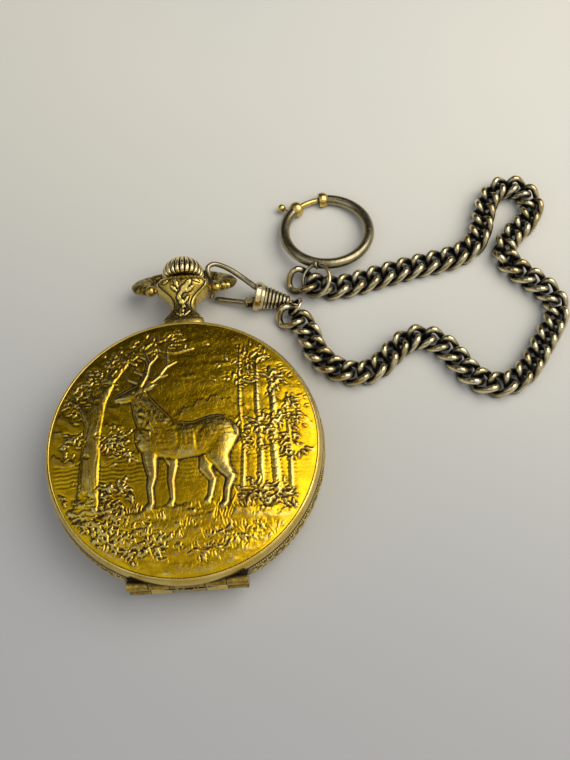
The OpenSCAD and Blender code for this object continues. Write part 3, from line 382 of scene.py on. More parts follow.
@dataclass(frozen=True)
class Effect:
    """A node group that several finishes share, built once.

    The draw function gets the group's graph and inputs, and returns its outputs by name.
    """

    name: str
    inputs: dict[str, float]
    outputs: tuple[str, ...]
    draw: Callable[[Graph, bpy.types.bpy_prop_collection], dict[str, object]]

    def tree(self) -> bpy.types.NodeTree:
        """Builds the group at its first use.

        Returns:
            The group's tree.
        """
        found = bpy.data.node_groups.get(self.name)
        if found:
            return found
        tree = bpy.data.node_groups.new(self.name, "ShaderNodeTree")
        for socket, value in self.inputs.items():
            made = tree.interface.new_socket(socket, in_out="INPUT", socket_type="NodeSocketFloat")
            made.default_value = value
        for socket in self.outputs:
            tree.interface.new_socket(socket, in_out="OUTPUT", socket_type="NodeSocketFloat")
        start, end = tree.nodes.new("NodeGroupInput"), tree.nodes.new("NodeGroupOutput")
        for socket, value in self.draw(Graph(tree), start.outputs).items():
            tree.links.new(value, end.inputs[socket])
        return tree

    def use(self, g: Graph, **values: float) -> bpy.types.bpy_prop_collection:
        """Places the group in a material.

        Args:
            g: Graph of the material.
            **values: The group's inputs, by name.

        Returns:
            The group's outputs.
        """
        node = g.tree.nodes.new("ShaderNodeGroup")
        node.node_tree = self.tree()
        for key, value in values.items():
            node.inputs[key].default_value = value
        return node.outputs


def draw_grime_and_shade(g: Graph, given: bpy.types.bpy_prop_collection) -> dict[str, object]:
    """Draws dark dirt and painted shade where a surface is closed in by its surroundings.

    Args:
        g: Graph of the group.
        given: The group's inputs.

    Returns:
        The group's outputs, by name.
    """
    # Ambient occlusion: creases, gaps between parts and places near the floor get painted shade
    # along with dirt
    closed = g.add("AmbientOcclusion", {"Distance": g.times(given["Reach"], MM)},
                   samples=8).outputs["AO"]
    speck = g.noise(g.millimetres(), 1.7, 4.0)
    openness = g.plus(closed, g.times(g.minus(speck, 0.5), 0.35))
    return {"Mask": g.ramp(openness, given["End"], given["Start"], 1.0, 0.0)}


def draw_handling(g: Graph, given: bpy.types.bpy_prop_collection) -> dict[str, object]:
    """Draws scratches and soft dents from years in a pocket, as height and dullness.

    Args:
        g: Graph of the group.
        given: The group's inputs.

    Returns:
        The group's outputs, by name.
    """
    where = g.scaled(g.millimetres(), given["Scale"])
    scratch = 0.0
    for turn, stretch in ((0.5, (0.35, 6.0, 1.0)), (1.9, (0.3, 5.0, 1.2)), (2.7, (0.4, 7.0, 0.9))):
        turned = g.add("VectorRotate", {"Vector": where, "Angle": turn},
                       rotation_type="Z_AXIS").outputs[0]
        drawn = g.add("VectorMath", {0: turned, 1: stretch}, operation="MULTIPLY").outputs[0]
        streak = g.ramp(g.noise(drawn, 1.3, 2.0, 0.6), 0.62, 0.70)
        scratch = g.math("MAXIMUM", scratch, streak)
    scratch = g.times(scratch, given["Scratches"])
    dent, smear = g.noise(where, 0.9, 2.0), g.noise(where, 0.35, 4.0, 0.65)
    return {"Height": g.minus(g.times(dent, 0.6), scratch),
            "Dull": g.plus(g.times(scratch, 0.35), smear)}


def draw_tarnish(g: Graph, given: bpy.types.bpy_prop_collection) -> dict[str, object]:
    """Draws soft uneven patches where the metal has darkened or warmed.

    Args:
        g: Graph of the group.
        given: The group's inputs.

    Returns:
        The group's outputs, by name.
    """
    patch = g.noise(g.scaled(g.millimetres(), given["Scale"]), 1.0, 5.0, 0.6)
    middle = 0.52
    return {"Mask": g.ramp(patch, g.minus(middle, given["Spread"]),
                           g.plus(middle, given["Spread"]))}


# Dirt and painted shade from ambient occlusion, shared by the metal finishes
GRIME_AND_SHADE = Effect("recess_grime_and_shade", {"Reach": 0.8, "Start": 0.75, "End": 0.35}, ("Mask",), draw_grime_and_shade)
HANDLING = Effect("handling", {"Scale": 1.0, "Scratches": 0.5}, ("Height", "Dull"), draw_handling)
TARNISH = Effect("tarnish", {"Scale": 0.3, "Spread": 0.1}, ("Mask",), draw_tarnish)


# Finishes


class Wear(Enum):
    """How a metal has aged: the spread of its tarnish and the strength of its scratches."""

    KEPT = (0.05, 0.2)
    CARRIED = (0.1, 0.6)


def new_material(name: str, surface: Callable[[Graph], dict[str, object]]) -> bpy.types.Material:
    """Makes a material of one Principled shader.

    Args:
        name: Name of the material.
        surface: Draws the nodes and returns the shader's inputs, by name.

    Returns:
        The material.
    """
    made = bpy.data.materials.new(name)
    made.use_nodes = True
    made.node_tree.nodes.clear()
    g = Graph(made.node_tree)
    shader = g.add("BsdfPrincipled", surface(g))
    g.add("OutputMaterial", {"Surface": shader.outputs[0]})
    return made


@dataclass(frozen=True)
class Finish:
    """A material that is built at its first use and found again by its name."""

    name: str

    def surface(self, g: Graph) -> dict[str, object]:
        """Draws the nodes and returns the shader's inputs, by name."""
        raise NotImplementedError

    def material(self) -> bpy.types.Material:
        """Returns the material. Its name differs from those of the CAD model's plain ones."""
        name = f"{self.name}_finish"
        return bpy.data.materials.get(name) or new_material(name, self.surface)


@dataclass(frozen=True)
class MetalFinish(Finish):
    """A solid metal with dirt and painted shade in its recesses, patches of tarnish and light
    scratches.

    Reach is how far the dirt and painted shade look for surroundings; the following pair holds
    the openness at which they start and that at which they are full. Reach, bump and edge are in
    millimetres.
    """

    bright: Colour
    dull: Colour
    # Colour of the dirt and painted shade in closed-in places
    dirt_and_shade: Colour
    roughness: float = 0.25
    wear: Wear = Wear.CARRIED
    reach: float = 0.8
    grime_and_shade: tuple[float, float] = (0.75, 0.35)
    patches: float = 0.3
    tarnish: float = 0.85
    bump: float = 0.02
    edge: float = 0.05

    def surface(self, g: Graph) -> dict[str, object]:
        """Draws the nodes.

        Args:
            g: Graph of the material.

        Returns:
            The shader's inputs, by name.
        """
        spread, scratches = self.wear.value
        patch = TARNISH.use(g, Scale=self.patches, Spread=spread)["Mask"]
        # Mask of dirt and painted shade where the surface is closed in
        grime_and_shade = GRIME_AND_SHADE.use(g, Reach=self.reach, Start=self.grime_and_shade[0], End=self.grime_and_shade[1])["Mask"]
        handled = HANDLING.use(g, Scale=1.0, Scratches=scratches)
        colour = g.mix(g.times(patch, self.tarnish), self.bright, self.dull)
        rough = g.plus(self.roughness - 0.06, g.times(handled["Dull"], 0.12))
        rounded = g.add("Bevel", {"Radius": self.edge * MM}, samples=4).outputs[0]
        return {"Base Color": g.mix(grime_and_shade, colour, self.dirt_and_shade),
                "Metallic": g.minus(1.0, g.times(grime_and_shade, 0.5)),
                "Roughness": g.plus(rough, g.times(grime_and_shade, 0.3), True),
                "Normal": g.bump(0.6, self.bump, Height=handled["Height"], Normal=rounded)}


@dataclass(frozen=True)
class ReliefFinish(Finish):
    """Stamped gold whose recesses, given by the mesh, hold a dark patina; raised places take the
    peak colour, worn metal on the lid and a painted highlight on the band.
    """

    peak: Colour
    ground: Colour
    patina: Colour
    roughness: float = 0.3
    grain: float = 0.03
    warmth: Colour = (0.68, 0.56, 0.5)
    warm_share: float = 0.5

    def surface(self, g: Graph) -> dict[str, object]:
        """Draws the nodes.

        Args:
            g: Graph of the material.

        Returns:
            The shader's inputs, by name.
        """
        where = g.millimetres()
        recess, raised = (g.add("Attribute", attribute_name=name).outputs["Fac"]
                          for name in ("recess", "raised"))
        broken = g.times(g.minus(g.noise(where, 2.6, 5.0, 0.62), 0.42), 0.9)
        # Raised places: worn metal, and on the band's scroll a painted highlight
        worn_and_highlit = g.ramp(g.plus(raised, broken), 0.35, 0.9)
        dark = g.ramp(g.plus(recess, broken), 0.34, 0.9)
        patch = TARNISH.use(g, Scale=0.16, Spread=0.12)["Mask"]
        handled = HANDLING.use(g, Scale=1.3, Scratches=0.5)
        warm = tuple(c * f for c, f in zip(self.ground, self.warmth))
        colour = g.mix(g.times(patch, self.warm_share), g.mix(worn_and_highlit, self.ground, self.peak), warm)
        rough = g.plus(self.roughness - 0.05, g.times(handled["Dull"], 0.14))
        rough = g.plus(rough, g.times(dark, 0.25))
        stipple = g.times(g.noise(where, 4.5, 3.0, 0.6), 0.8)
        return {"Base Color": g.mix(dark, colour, self.patina),
                "Metallic": g.minus(1.0, g.times(dark, 0.35)),
                "Roughness": g.minus(rough, g.times(worn_and_highlit, 0.06), True),
                "Normal": g.bump(0.7, self.grain, Height=g.plus(stipple, handled["Height"]))}


@dataclass(frozen=True)
class PlainFinish(Finish):
    """Enamel, ruby, glass or printed black: one colour with a faint unevenness."""

    colour: Colour
    roughness: float = 0.2
    coat: float = 0.0
    transmission: float = 0.0
    ior: float = 1.5

    def surface(self, g: Graph) -> dict[str, object]:
        """Draws the nodes.

        Args:
            g: Graph of the material.

        Returns:
            The shader's inputs, by name.
        """
        patch = TARNISH.use(g, Scale=0.4, Spread=0.2)["Mask"]
        return {"Base Color": g.mix(patch, self.colour, tuple(c * 0.94 for c in self.colour)),
                "Roughness": g.plus(self.roughness, g.times(patch, 0.03)), "Metallic": 0.0,
                "Coat Weight": self.coat, "Transmission Weight": self.transmission,
                "IOR": self.ior}


LID_GOLD = ReliefFinish("lid_gold", peak=(0.56, 0.43, 0.13), ground=(0.61, 0.38, 0.008),
                        patina=(0.024, 0.015, 0.004), roughness=0.21, grain=0.016)
# Band: the bright peak colour on the raised scroll is a painted highlight, and the darker ground its
# painted shade
BAND_GOLD = ReliefFinish("band_gold", peak=(0.95, 0.74, 0.26), ground=(0.36, 0.24, 0.035),
                         patina=(0.012, 0.008, 0.003), roughness=0.21)
ORNAMENT_GOLD = ReliefFinish("ornament_gold", peak=(0.88, 0.68, 0.20), ground=(0.50, 0.34, 0.055),
                             patina=(0.020, 0.013, 0.004), roughness=0.2)
CROWN_GOLD = ReliefFinish("crown_gold", peak=(1.0, 0.85, 0.46), ground=(0.70, 0.51, 0.16),
                          patina=(0.005, 0.004, 0.002), roughness=0.16)
BOW_GOLD = ReliefFinish("bow_gold", peak=(0.62, 0.46, 0.11), ground=(0.26, 0.175, 0.03),
                        patina=(0.012, 0.009, 0.004), roughness=0.22)
RIM_GOLD = MetalFinish("rim_gold", bright=(0.80, 0.59, 0.17), dull=(0.66, 0.46, 0.09),
                       dirt_and_shade=(0.03, 0.02, 0.005), reach=1.0, grime_and_shade=(0.85, 0.4))
# Gold of the hinge knuckles, the band and the pins, darkened as painted shade beside the lighter rim
# gold, with heavy dirt and painted shade in closed-in places
SHADED_CASE_GOLD = MetalFinish("case_gold", bright=(0.55, 0.38, 0.07), dull=(0.28, 0.18, 0.03),
                        dirt_and_shade=(0.02, 0.013, 0.004), roughness=0.26, reach=1.6,
                        grime_and_shade=(1.0, 0.62), patches=1.3)
# Chain: near-black painted shade and dirt between the links, over a 2.6 mm reach
NICKEL = MetalFinish("chain_nickel", bright=(0.76, 0.66, 0.41), dull=(0.44, 0.33, 0.14),
                     dirt_and_shade=(0.006, 0.005, 0.003), roughness=0.135, reach=2.6,
                     grime_and_shade=(0.98, 0.66), patches=0.22)
RING_NICKEL = MetalFinish("ring_nickel", bright=(0.38, 0.33, 0.20), dull=(0.28, 0.23, 0.12),
                          dirt_and_shade=(0.014, 0.010, 0.006), roughness=0.24, reach=1.6,
                          grime_and_shade=(0.9, 0.45))
CHAMPAGNE = MetalFinish("ferrule_champagne", bright=(0.80, 0.69, 0.42), dull=(0.62, 0.47, 0.20),
                        dirt_and_shade=(0.012, 0.009, 0.004), roughness=0.2, reach=1.0,
                        grime_and_shade=(0.93, 0.55))
BRASS = MetalFinish("ring_brass", bright=(0.76, 0.57, 0.19), dull=(0.56, 0.37, 0.08),
                    dirt_and_shade=(0.025, 0.016, 0.005), roughness=0.24, reach=1.3, grime_and_shade=(0.9, 0.5))
STEEL = MetalFinish("steel", bright=(0.62, 0.62, 0.62), dull=(0.55, 0.54, 0.52),
                    dirt_and_shade=(0.10, 0.09, 0.08), roughness=0.22, wear=Wear.KEPT, reach=0.4,
                    grime_and_shade=(0.5, 0.1))
BLUED = MetalFinish("blued_steel", bright=(0.035, 0.06, 0.26), dull=(0.05, 0.07, 0.20),
                    dirt_and_shade=(0.02, 0.02, 0.05), roughness=0.2, wear=Wear.KEPT, reach=0.4,
                    grime_and_shade=(0.5, 0.1))
PLATE_NICKEL = MetalFinish("nickel_plate", bright=(0.74, 0.72, 0.66), dull=(0.68, 0.65, 0.57),
                           dirt_and_shade=(0.12, 0.10, 0.08), wear=Wear.KEPT, reach=0.5, grime_and_shade=(0.5, 0.1))
WHEEL_BRASS = MetalFinish("wheel_brass", bright=(0.80, 0.61, 0.24), dull=(0.72, 0.52, 0.17),
                          dirt_and_shade=(0.14, 0.09, 0.03), roughness=0.24, wear=Wear.KEPT, reach=0.3,
                          grime_and_shade=(0.5, 0.1))
RUBY = PlainFinish("ruby", (0.42, 0.01, 0.04), roughness=0.08, coat=0.6)
ENAMEL = PlainFinish("enamel", (0.86, 0.85, 0.79), roughness=0.18, coat=0.5)
PRINT = PlainFinish("dial_black", (0.015, 0.014, 0.016), roughness=0.3)
GLASS = PlainFinish("glass", (1.0, 1.0, 1.0), roughness=0.02, transmission=1.0, ior=1.46)


def dress(finish: Finish, *nodes: str) -> None:
    """Gives CAD nodes their finish.

    Args:
        finish: Finish to use.
        *nodes: Names of the nodes.
    """
    for node in nodes:
        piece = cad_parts[node]
        if not piece.material_slots:
            piece.data.materials.append(finish.material())
        for slot in piece.material_slots:
            slot.material = finish.material()
        LOG.info("dressed %s in %s", node, finish.name)


def finished(piece: bpy.types.Object, finish: Finish, body: str, slot: str, *nodes: str) -> None:
    """Gives a new piece its finish and its body, and hides the nodes it stands for.

    Args:
        piece: The piece.
        finish: Finish to use.
        body: CAD body it rides on.
        slot: Material slot of the record; not used.
        *nodes: CAD nodes that it replaces.
    """
    piece.data.materials.append(finish.material())
    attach(piece, body)
    if nodes:
        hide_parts(*nodes)
    LOG.info("built %s: %d faces on %s", piece.name, len(piece.data.polygons), body)


# Relief

Bars = tuple[float, float, tuple[tuple[float, float, float], ...]]


@dataclass
class ReliefPlate:
    """A height map over a rectangle, in millimetres, on which motifs are raised."""

    width: float
    depth: float
    step: float = 0.075
    seed: int = SEED
    h: np.ndarray = field(init=False)

    def __post_init__(self) -> None:
        """Lays out the plate's grid."""
        nx, ny = round(self.width / self.step) + 1, round(self.depth / self.step) + 1
        self.xs = np.linspace(-self.width / 2, self.width / 2, nx)
        self.ys = np.linspace(-self.depth / 2, self.depth / 2, ny)
        self.x, self.y = np.meshgrid(self.xs, self.ys)
        self.h = np.zeros_like(self.x)
        self.rng = np.random.default_rng(self.seed)

    def blur(self, values: np.ndarray, sx: float, sy: Optional[float] = None) -> np.ndarray:
        """Softens values by a Gaussian.

        Args:
            values: Values over the plate.
            sx: Its width along x, in millimetres.
            sy: Its width along y, the same as along x if left out.

        Returns:
            The softened values.
        """
        sy = sx if sy is None else sy
        fy = np.fft.fftfreq(values.shape[0], self.step)[:, None]
        fx = np.fft.rfftfreq(values.shape[1], self.step)[None, :]
        keep = np.exp(-2 * math.pi ** 2 * ((fx * sx) ** 2 + (fy * sy) ** 2))
        return np.fft.irfft2(np.fft.rfft2(values) * keep, s=values.shape)

    def noise(self, sx: float, sy: Optional[float] = None) -> np.ndarray:
        """Draws smooth random values with a spread of one; the arguments are those of blur."""
        rough = self.blur(self.rng.standard_normal(self.x.shape), sx, sy)
        return rough / rough.std()

    def window(self, a: Sequence[float], b: Sequence[float], room: float) -> tuple[slice, slice]:
        """Finds the part of the plate round two points.

        Args:
            a: First point.
            b: Second point.
            room: How far the part goes beyond them.

        Returns:
            Slices of the plate's rows and columns.
        """
        rows, cols = (np.searchsorted(line, (min(a[k], b[k]) - room, max(a[k], b[k]) + room))
                      for line, k in ((self.ys, 1), (self.xs, 0)))
        return slice(max(rows[0] - 1, 0), rows[1] + 1), slice(max(cols[0] - 1, 0), cols[1] + 1)

    def limb(self, layer: np.ndarray, a: Sequence[float], b: Sequence[float], ra: float,
             rb: float, rise: float, lift: float = 0.0) -> None:
        """Raises a tapered round bar on a layer.

        Args:
            layer: Layer to raise, of the plate's shape.
            a: First end.
            b: Second end.
            ra: Radius at the first end.
            rb: Radius at the second end.
            rise: Height over the layer's ground for a radius of one.
            lift: Height added over the whole bar.
        """
        rows, cols = self.window(a, b, max(ra, rb))
        x, y = self.x[rows, cols], self.y[rows, cols]
        dx, dy = b[0] - a[0], b[1] - a[1]
        t = np.clip(((x - a[0]) * dx + (y - a[1]) * dy) / max(dx * dx + dy * dy, 1e-9), 0, 1)
        r = ra + (rb - ra) * t
        inside = 1 - ((x - a[0] - t * dx) ** 2 + (y - a[1] - t * dy) ** 2) / r ** 2
        made = np.where(inside > 0, lift + rise * np.sqrt(r * share(inside)), 0)
        np.maximum(layer[rows, cols], made, out=layer[rows, cols])

    def limbs(self, layer: np.ndarray, points: Sequence[Sequence[float]], rise: float,
              lift: float = 0.0) -> None:
        """Raises a chain of bars through points of x, y and radius; the rest as in limb."""
        for a, b in zip(points, points[1:]):
            self.limb(layer, a[:2], b[:2], a[2], b[2], rise, lift)

    def figure(self, *parts: Bars) -> np.ndarray:
        """Raises chains of bars on a new layer.

        Args:
            *parts: Rise, lift and points of each chain.

        Returns:
            The layer.
        """
        layer = np.zeros_like(self.h)
        for rise, lift, points in parts:
            self.limbs(layer, points, rise, lift)
        return layer

    def leaf(self, layer: np.ndarray, x0: float, y0: float, length: float, width: float,
             turn: float, height: float, lobes: float = 0.0) -> None:
        """Raises a leaf with a vein along its middle.

        Args:
            layer: Layer to raise.
            x0: Place of the stem.
            y0: Place of the stem.
            length: Length from stem to tip.
            width: Largest width.
            turn: Direction from stem to tip, in radians.
            height: Height at its crest.
            lobes: Depth of the lobes along its edge, from 0 to 1.
        """
        tip = x0 + length * math.cos(turn), y0 + length * math.sin(turn)
        rows, cols = self.window((x0, y0), tip, width)
        x, y = self.x[rows, cols] - x0, self.y[rows, cols] - y0
        u = (x * math.cos(turn) + y * math.sin(turn)) / length
        v = -x * math.sin(turn) + y * math.cos(turn)
        edge = np.sin(math.pi * share(u) ** 0.8) * width / 2
        edge = edge * (1 - lobes * (0.5 + 0.5 * np.cos(6 * math.pi * u))) + 1e-6
        inside = np.where((u > 0) & (u < 1), 1 - np.abs(v) / edge, 0)
        vein = 0.3 * bell(v, 0.09 * width)
        made = np.where(inside > 0, height * (0.35 + 0.65 * np.sqrt(share(inside)) - vein), 0)
        np.maximum(layer[rows, cols], made, out=layer[rows, cols])

    def spray(self, layer: np.ndarray, x: float, y: float, wide: float, tall: float, count: int,
              size: float, height: float, lobes: float = 0.35) -> None:
        """Raises a cluster of leaves that spread from a middle.

        Args:
            layer: Layer to raise.
            x: Middle of the cluster.
            y: Middle of the cluster.
            wide: Its spread along x.
            tall: Its spread along y.
            count: Number of leaves.
            size: Usual length of a leaf.
            height: Largest height of a leaf.
            lobes: Depth of the leaves' lobes, from 0 to 1.
        """
        for _ in range(count):
            ox, oy = self.rng.normal(0, wide), self.rng.normal(0, tall)
            turn = math.atan2(oy, ox) + self.rng.normal(0, 0.9)
            length = size * self.rng.uniform(0.7, 1.35)
            self.leaf(layer, x + ox, y + oy, length, length * self.rng.uniform(0.42, 0.6), turn,
                      height * self.rng.uniform(0.5, 1.0), lobes)

    def set_on(self, figure: np.ndarray, keep: float, groove: float, reach: float = 0.28) -> None:
        """Sets a raised figure on the plate with a chased line round it.

        Args:
            figure: Layer of heights, zero outside the figure.
            keep: Share of the ground's own relief that shows through the figure.
            groove: Depth of the chased line.
            reach: Width of the line.
        """
        mask = (figure > 0.004).astype(float)
        near = share(self.blur(mask, reach) * 2) * (1 - mask)
        self.h = np.where(mask > 0, self.h * keep + figure, self.h - groove * near)

    def recess(self) -> np.ndarray:
        """How far each place lies below its surroundings, from 0 to 1."""
        fine = (self.blur(self.h, 0.24) - self.h) / 0.045
        wide = (self.blur(self.h, 0.9) - self.h) / 0.11
        return share(0.65 * fine + 0.35 * wide)

    def raised(self) -> np.ndarray:
        """How far each place stands above its surroundings, from 0 to 1."""
        return share((self.h - self.blur(self.h, 0.8)) / 0.10 + 0.25)

    def sample(self, values: np.ndarray, x: np.ndarray, y: np.ndarray) -> np.ndarray:
        """Reads a layer between its grid points.

        Args:
            values: Layer to read.
            x: Places to read it at, in millimetres.
            y: Places to read it at.

        Returns:
            The layer's values there.
        """
        fx = np.clip((x + self.width / 2) / self.step, 0, len(self.xs) - 1.001)
        fy = np.clip((y + self.depth / 2) / self.step, 0, len(self.ys) - 1.001)
        k, i = fx.astype(int), fy.astype(int)
        tx, ty = fx - k, fy - i
        return ((values[i, k] * (1 - tx) + values[i, k + 1] * tx) * (1 - ty)
                + (values[i + 1, k] * (1 - tx) + values[i + 1, k + 1] * tx) * ty)


class WoodlandScene:
    """A standing stag on a knoll between trees, as the stamped picture of the lid.

    Places are millimetres from the lid's middle. Bars hold their rise, their lift and
    points of x, y and radius.
    """

    GROUND_Y = -12.2
    # x, y and length of each cloud
    CLOUDS = ((-2, 17.5, 6), (8, 14.5, 5), (1.5, 12.2, 4))
    # Foot, height, wave, shift and depth of each ridge
    RIDGES = ((4.5, 3.4, 0.32, 0.4, 0.05), (1.5, 2.4, 0.45, 2.2, 0.07),
              (-2.6, 1.3, 0.6, 4.0, 0.08))
    OAK: tuple[Bars, ...] = (
        (0.17, 0.04, ((-17.2, -14, 2.7), (-16.6, -9, 1.9), (-16.3, -3, 1.7), (-16.0, 3, 1.55),
                      (-15.2, 8.5, 1.5), (-13.0, 13.2, 1.2), (-9.5, 17.6, 0.85),
                      (-5.5, 20.3, 0.5))),
        (0.17, 0.04, ((-16.0, 4, 1.2), (-18.2, 7.4, 0.7), (-20.2, 9.6, 0.4))),
        (0.17, 0.04, ((-15.4, 8, 1.1), (-17.4, 12, 0.7), (-17.2, 15, 0.4))),
        (0.17, 0.03, ((-9.5, 17.6, 0.7), (-4.5, 18.4, 0.45), (-1.0, 17.6, 0.3), (2.2, 18.3, 0.18))),
        (0.17, 0.04, ((-17.6, -13, 1.3), (-20, -14.6, 0.6))),
        (0.17, 0.04, ((-16.6, -13, 1.5), (-13.4, -15.2, 0.5))))
    # x, lean, radius and top of each birch
    BIRCHES = ((13.6, 0.3, 0.62, 17), (16.6, -0.4, 0.8, 13.5), (18.9, 0.2, 0.5, 8),
               (10.4, 0.5, 0.4, 18.5))
    FAR_SIDE: tuple[Bars, ...] = (
        (0.17, 0.03, ((-2.2, -1.5, 1.9), (-1.6, -4.6, 0.85), (-2.0, -7.2, 0.6),
                      (-1.7, -10.6, 0.42), (-2.1, -11.5, 0.55))),
        (0.17, 0.03, ((5.2, -2.2, 2.3), (3.9, -5.4, 1.0), (5.3, -7.6, 0.62), (4.7, -10.6, 0.42),
                      (4.2, -11.4, 0.55))),
        (0.2, 0.05, ((-6.6, 10.8, 0.5), (-4.2, 12.6, 0.42), (-2.5, 15.0, 0.36), (-2.7, 18.0, 0.22))),
        (0.2, 0.05, ((-4.4, 12.5, 0.3), (-2.6, 12.9, 0.12))),
        (0.2, 0.05, ((-2.9, 14.4, 0.3), (-0.9, 15.6, 0.12))),
        (0.2, 0.05, ((-2.6, 16.2, 0.27), (-4.1, 18.0, 0.11))))
    BODY: tuple[Bars, ...] = (
        (0.2, 0.06, ((-4.4, 0.9, 3.9), (-1.0, -0.2, 3.45), (2.5, 0.0, 3.2), (6.0, 0.7, 3.55))),
        (0.2, 0.08, ((-4.6, 2.6, 3.1), (-6.3, 5.6, 2.35), (-7.5, 8.2, 1.7), (-8.0, 9.6, 1.45))),
        (0.24, 0.08, ((-8.1, 9.7, 1.42), (-9.8, 9.2, 1.05), (-11.6, 8.6, 0.72))),
        (0.2, 0.06, ((-8.3, 8.9, 1.0), (-10.8, 8.3, 0.6))))
    NEAR_LEGS: tuple[Bars, ...] = (
        (0.22, 0.08, ((-5.3, 0.2, 2.2), (-5.6, -3.4, 1.2), (-5.2, -6.4, 0.78), (-5.6, -8.4, 0.55),
                      (-5.3, -11.2, 0.46), (-5.9, -12.0, 0.62))),
        (0.2, 0.08, ((6.6, 0.2, 3.3), (6.2, -2.9, 2.1), (7.2, -5.4, 1.2), (8.5, -7.2, 0.8),
                     (7.7, -9.4, 0.56), (7.5, -11.6, 0.46), (6.9, -12.3, 0.62))))
    ANTLER: tuple[Bars, ...] = (
        (0.24, 0.1, ((-7.6, 10.8, 0.62), (-6.4, 13.0, 0.5), (-5.9, 15.4, 0.42), (-7.0, 18.6, 0.24))),
        (0.24, 0.1, ((-7.4, 11.4, 0.42), (-9.6, 12.4, 0.28), (-10.6, 13.9, 0.13))),
        (0.24, 0.1, ((-6.5, 12.9, 0.36), (-8.6, 14.3, 0.24), (-9.4, 15.7, 0.12))),
        (0.24, 0.1, ((-5.9, 15.2, 0.36), (-4.5, 17.0, 0.22), (-4.6, 18.4, 0.12))),
        (0.24, 0.1, ((-6.2, 16.4, 0.3), (-8.2, 17.6, 0.2), (-8.9, 18.9, 0.11))))
    # Stem x and y, length, width, direction and height of a leaf shape
    TAIL = (9.2, 2.4, 2.6, 1.1, -1.25, 0.42)
    EAR = (-6.9, 10.0, 2.7, 1.15, 0.45, 0.46)
    # x, y, radius, direction and depth of the lines of shoulder and haunch
    MUSCLES = ((-3.6, 0.2, 3.0, 0.1, 0.06), (5.6, -0.6, 3.0, 2.9, 0.06),
               (-3.6, -1.6, 2.0, -1.0, 0.04), (4.6, 1.6, 2.4, -1.7, 0.03))
    EYE = (-8.7, 9.7)
    NOSTRIL = (-11.9, 8.75)
    # Middle x and y, spread along x and y, count, size and height of each spray of leaves
    SPRAYS = (
        (-10.8, 16.4, 1.9, 1.0, 44, 1.15, 0.2), (-15.0, 12.6, 1.4, 1.5, 40, 1.15, 0.2),
        (-19.4, 8.4, 1.1, 1.4, 30, 1.1, 0.18), (-3.2, 20.2, 2.6, 0.8, 46, 1.1, 0.18),
        (12.6, 15.6, 1.7, 1.0, 42, 1.15, 0.19), (16.6, 11.2, 1.3, 1.3, 38, 1.1, 0.19),
        (9.6, 11.4, 1.2, 0.6, 22, 1.0, 0.14), (15.4, 2.6, 1.8, 1.1, 58, 1.1, 0.24),
        (19.4, -1.4, 1.0, 1.3, 34, 1.1, 0.22), (12.6, -1.2, 1.2, 0.8, 30, 1.0, 0.2),
        (-11.6, 1.0, 1.5, 1.0, 50, 1.1, 0.24), (-19.6, 0.6, 0.9, 1.9, 34, 1.1, 0.2),
        (-10.4, -2.2, 1.0, 0.6, 20, 1.0, 0.2), (-11.8, -8.4, 1.6, 1.1, 50, 1.1, 0.25),
        (-14.6, -13.0, 2.1, 1.2, 84, 1.2, 0.27), (13.2, -9.8, 1.6, 0.9, 44, 1.15, 0.25),
        (17.0, -11.0, 1.2, 0.9, 30, 1.15, 0.24), (-4.6, -18.6, 1.9, 0.8, 34, 1.2, 0.22),
        (9.0, -16.8, 1.7, 0.8, 34, 1.2, 0.22), (-9.0, -15.6, 1.6, 0.8, 40, 1.0, 0.2),
        (2.6, -19.8, 1.8, 0.6, 30, 1.0, 0.18), (-13.2, -17.0, 1.6, 0.8, 52, 1.1, 0.25),
        (-18.4, -10.0, 1.0, 1.2, 30, 1.0, 0.2), (20.4, 4.8, 0.8, 1.2, 26, 1.0, 0.2),
        (-8.2, -19.0, 1.9, 0.8, 56, 1.1, 0.24), (-17.8, -13.2, 0.9, 1.1, 34, 1.1, 0.24))
    # x, y and lean of each tuft of grass
    TUFTS = ((1.4, -15.6, 0.1), (6.4, -14.4, -0.2), (-3.4, -14.2, 0.2), (-8.6, -12.6, -0.1),
             (11.0, -12.6, 0.15), (-6.4, -16.6, 0.1), (4.4, -17.6, -0.1), (-0.8, -17.4, 0.15))

    def __init__(self) -> None:
        """Draws the picture on its plate, from the far hills to the near leaves."""
        self.plate = ReliefPlate(49.2, 49.2)
        for draw in (self.sky, self.hills, self.water, self.oak, self.birches, self.ground,
                     self.stag, self.foliage, self.texture):
            draw()

    def sky(self) -> None:
        """Draws soft unevenness and a few long clouds."""
        p = self.plate
        p.h += 0.012 * p.noise(2.2, 0.5) + 0.01 * p.noise(1.6)
        for x, y, length in self.CLOUDS:
            layer = np.zeros_like(p.h)
            p.leaf(layer, x - length / 2, y, length, width=0.9, turn=0.05, height=0.05)
            p.set_on(p.blur(layer, 0.12), keep=1.0, groove=0.0)

    def hills(self) -> None:
        """Draws three ridges, one behind the other, with slanted faces."""
        p = self.plate
        for foot, high, wave, shift, deep in self.RIDGES:
            line = (foot + high * np.abs(np.sin(p.x * wave / 1.6 + shift)) ** 1.4
                    + 0.35 * np.sin(p.x * 2.3 + shift) + 0.2 * np.sin(p.x * 5.1))
            under = line - p.y
            body = deep * np.exp(-np.clip(under, 0, None) / 2.2)
            faces = 0.012 * np.sin((p.x * 1.4 + p.y * 2.0) * 1.6 + shift) * np.exp(-under / 3)
            p.h = np.where(under > 0, p.h * 0.4 + body + faces, p.h)

    def water(self) -> None:
        """Draws the ripples of a lake on the right, behind the knoll."""
        p = self.plate
        lake = (p.y > -7.5) & (p.y < -3.0 + 0.4 * np.sin(p.x))
        ripples = 0.014 * np.sin(p.y * 8.5 + 0.9 * np.sin(p.x * 1.1) + 0.5 * np.sin(p.x * 2.7))
        p.h = np.where(lake, 0.01 + ripples, p.h)

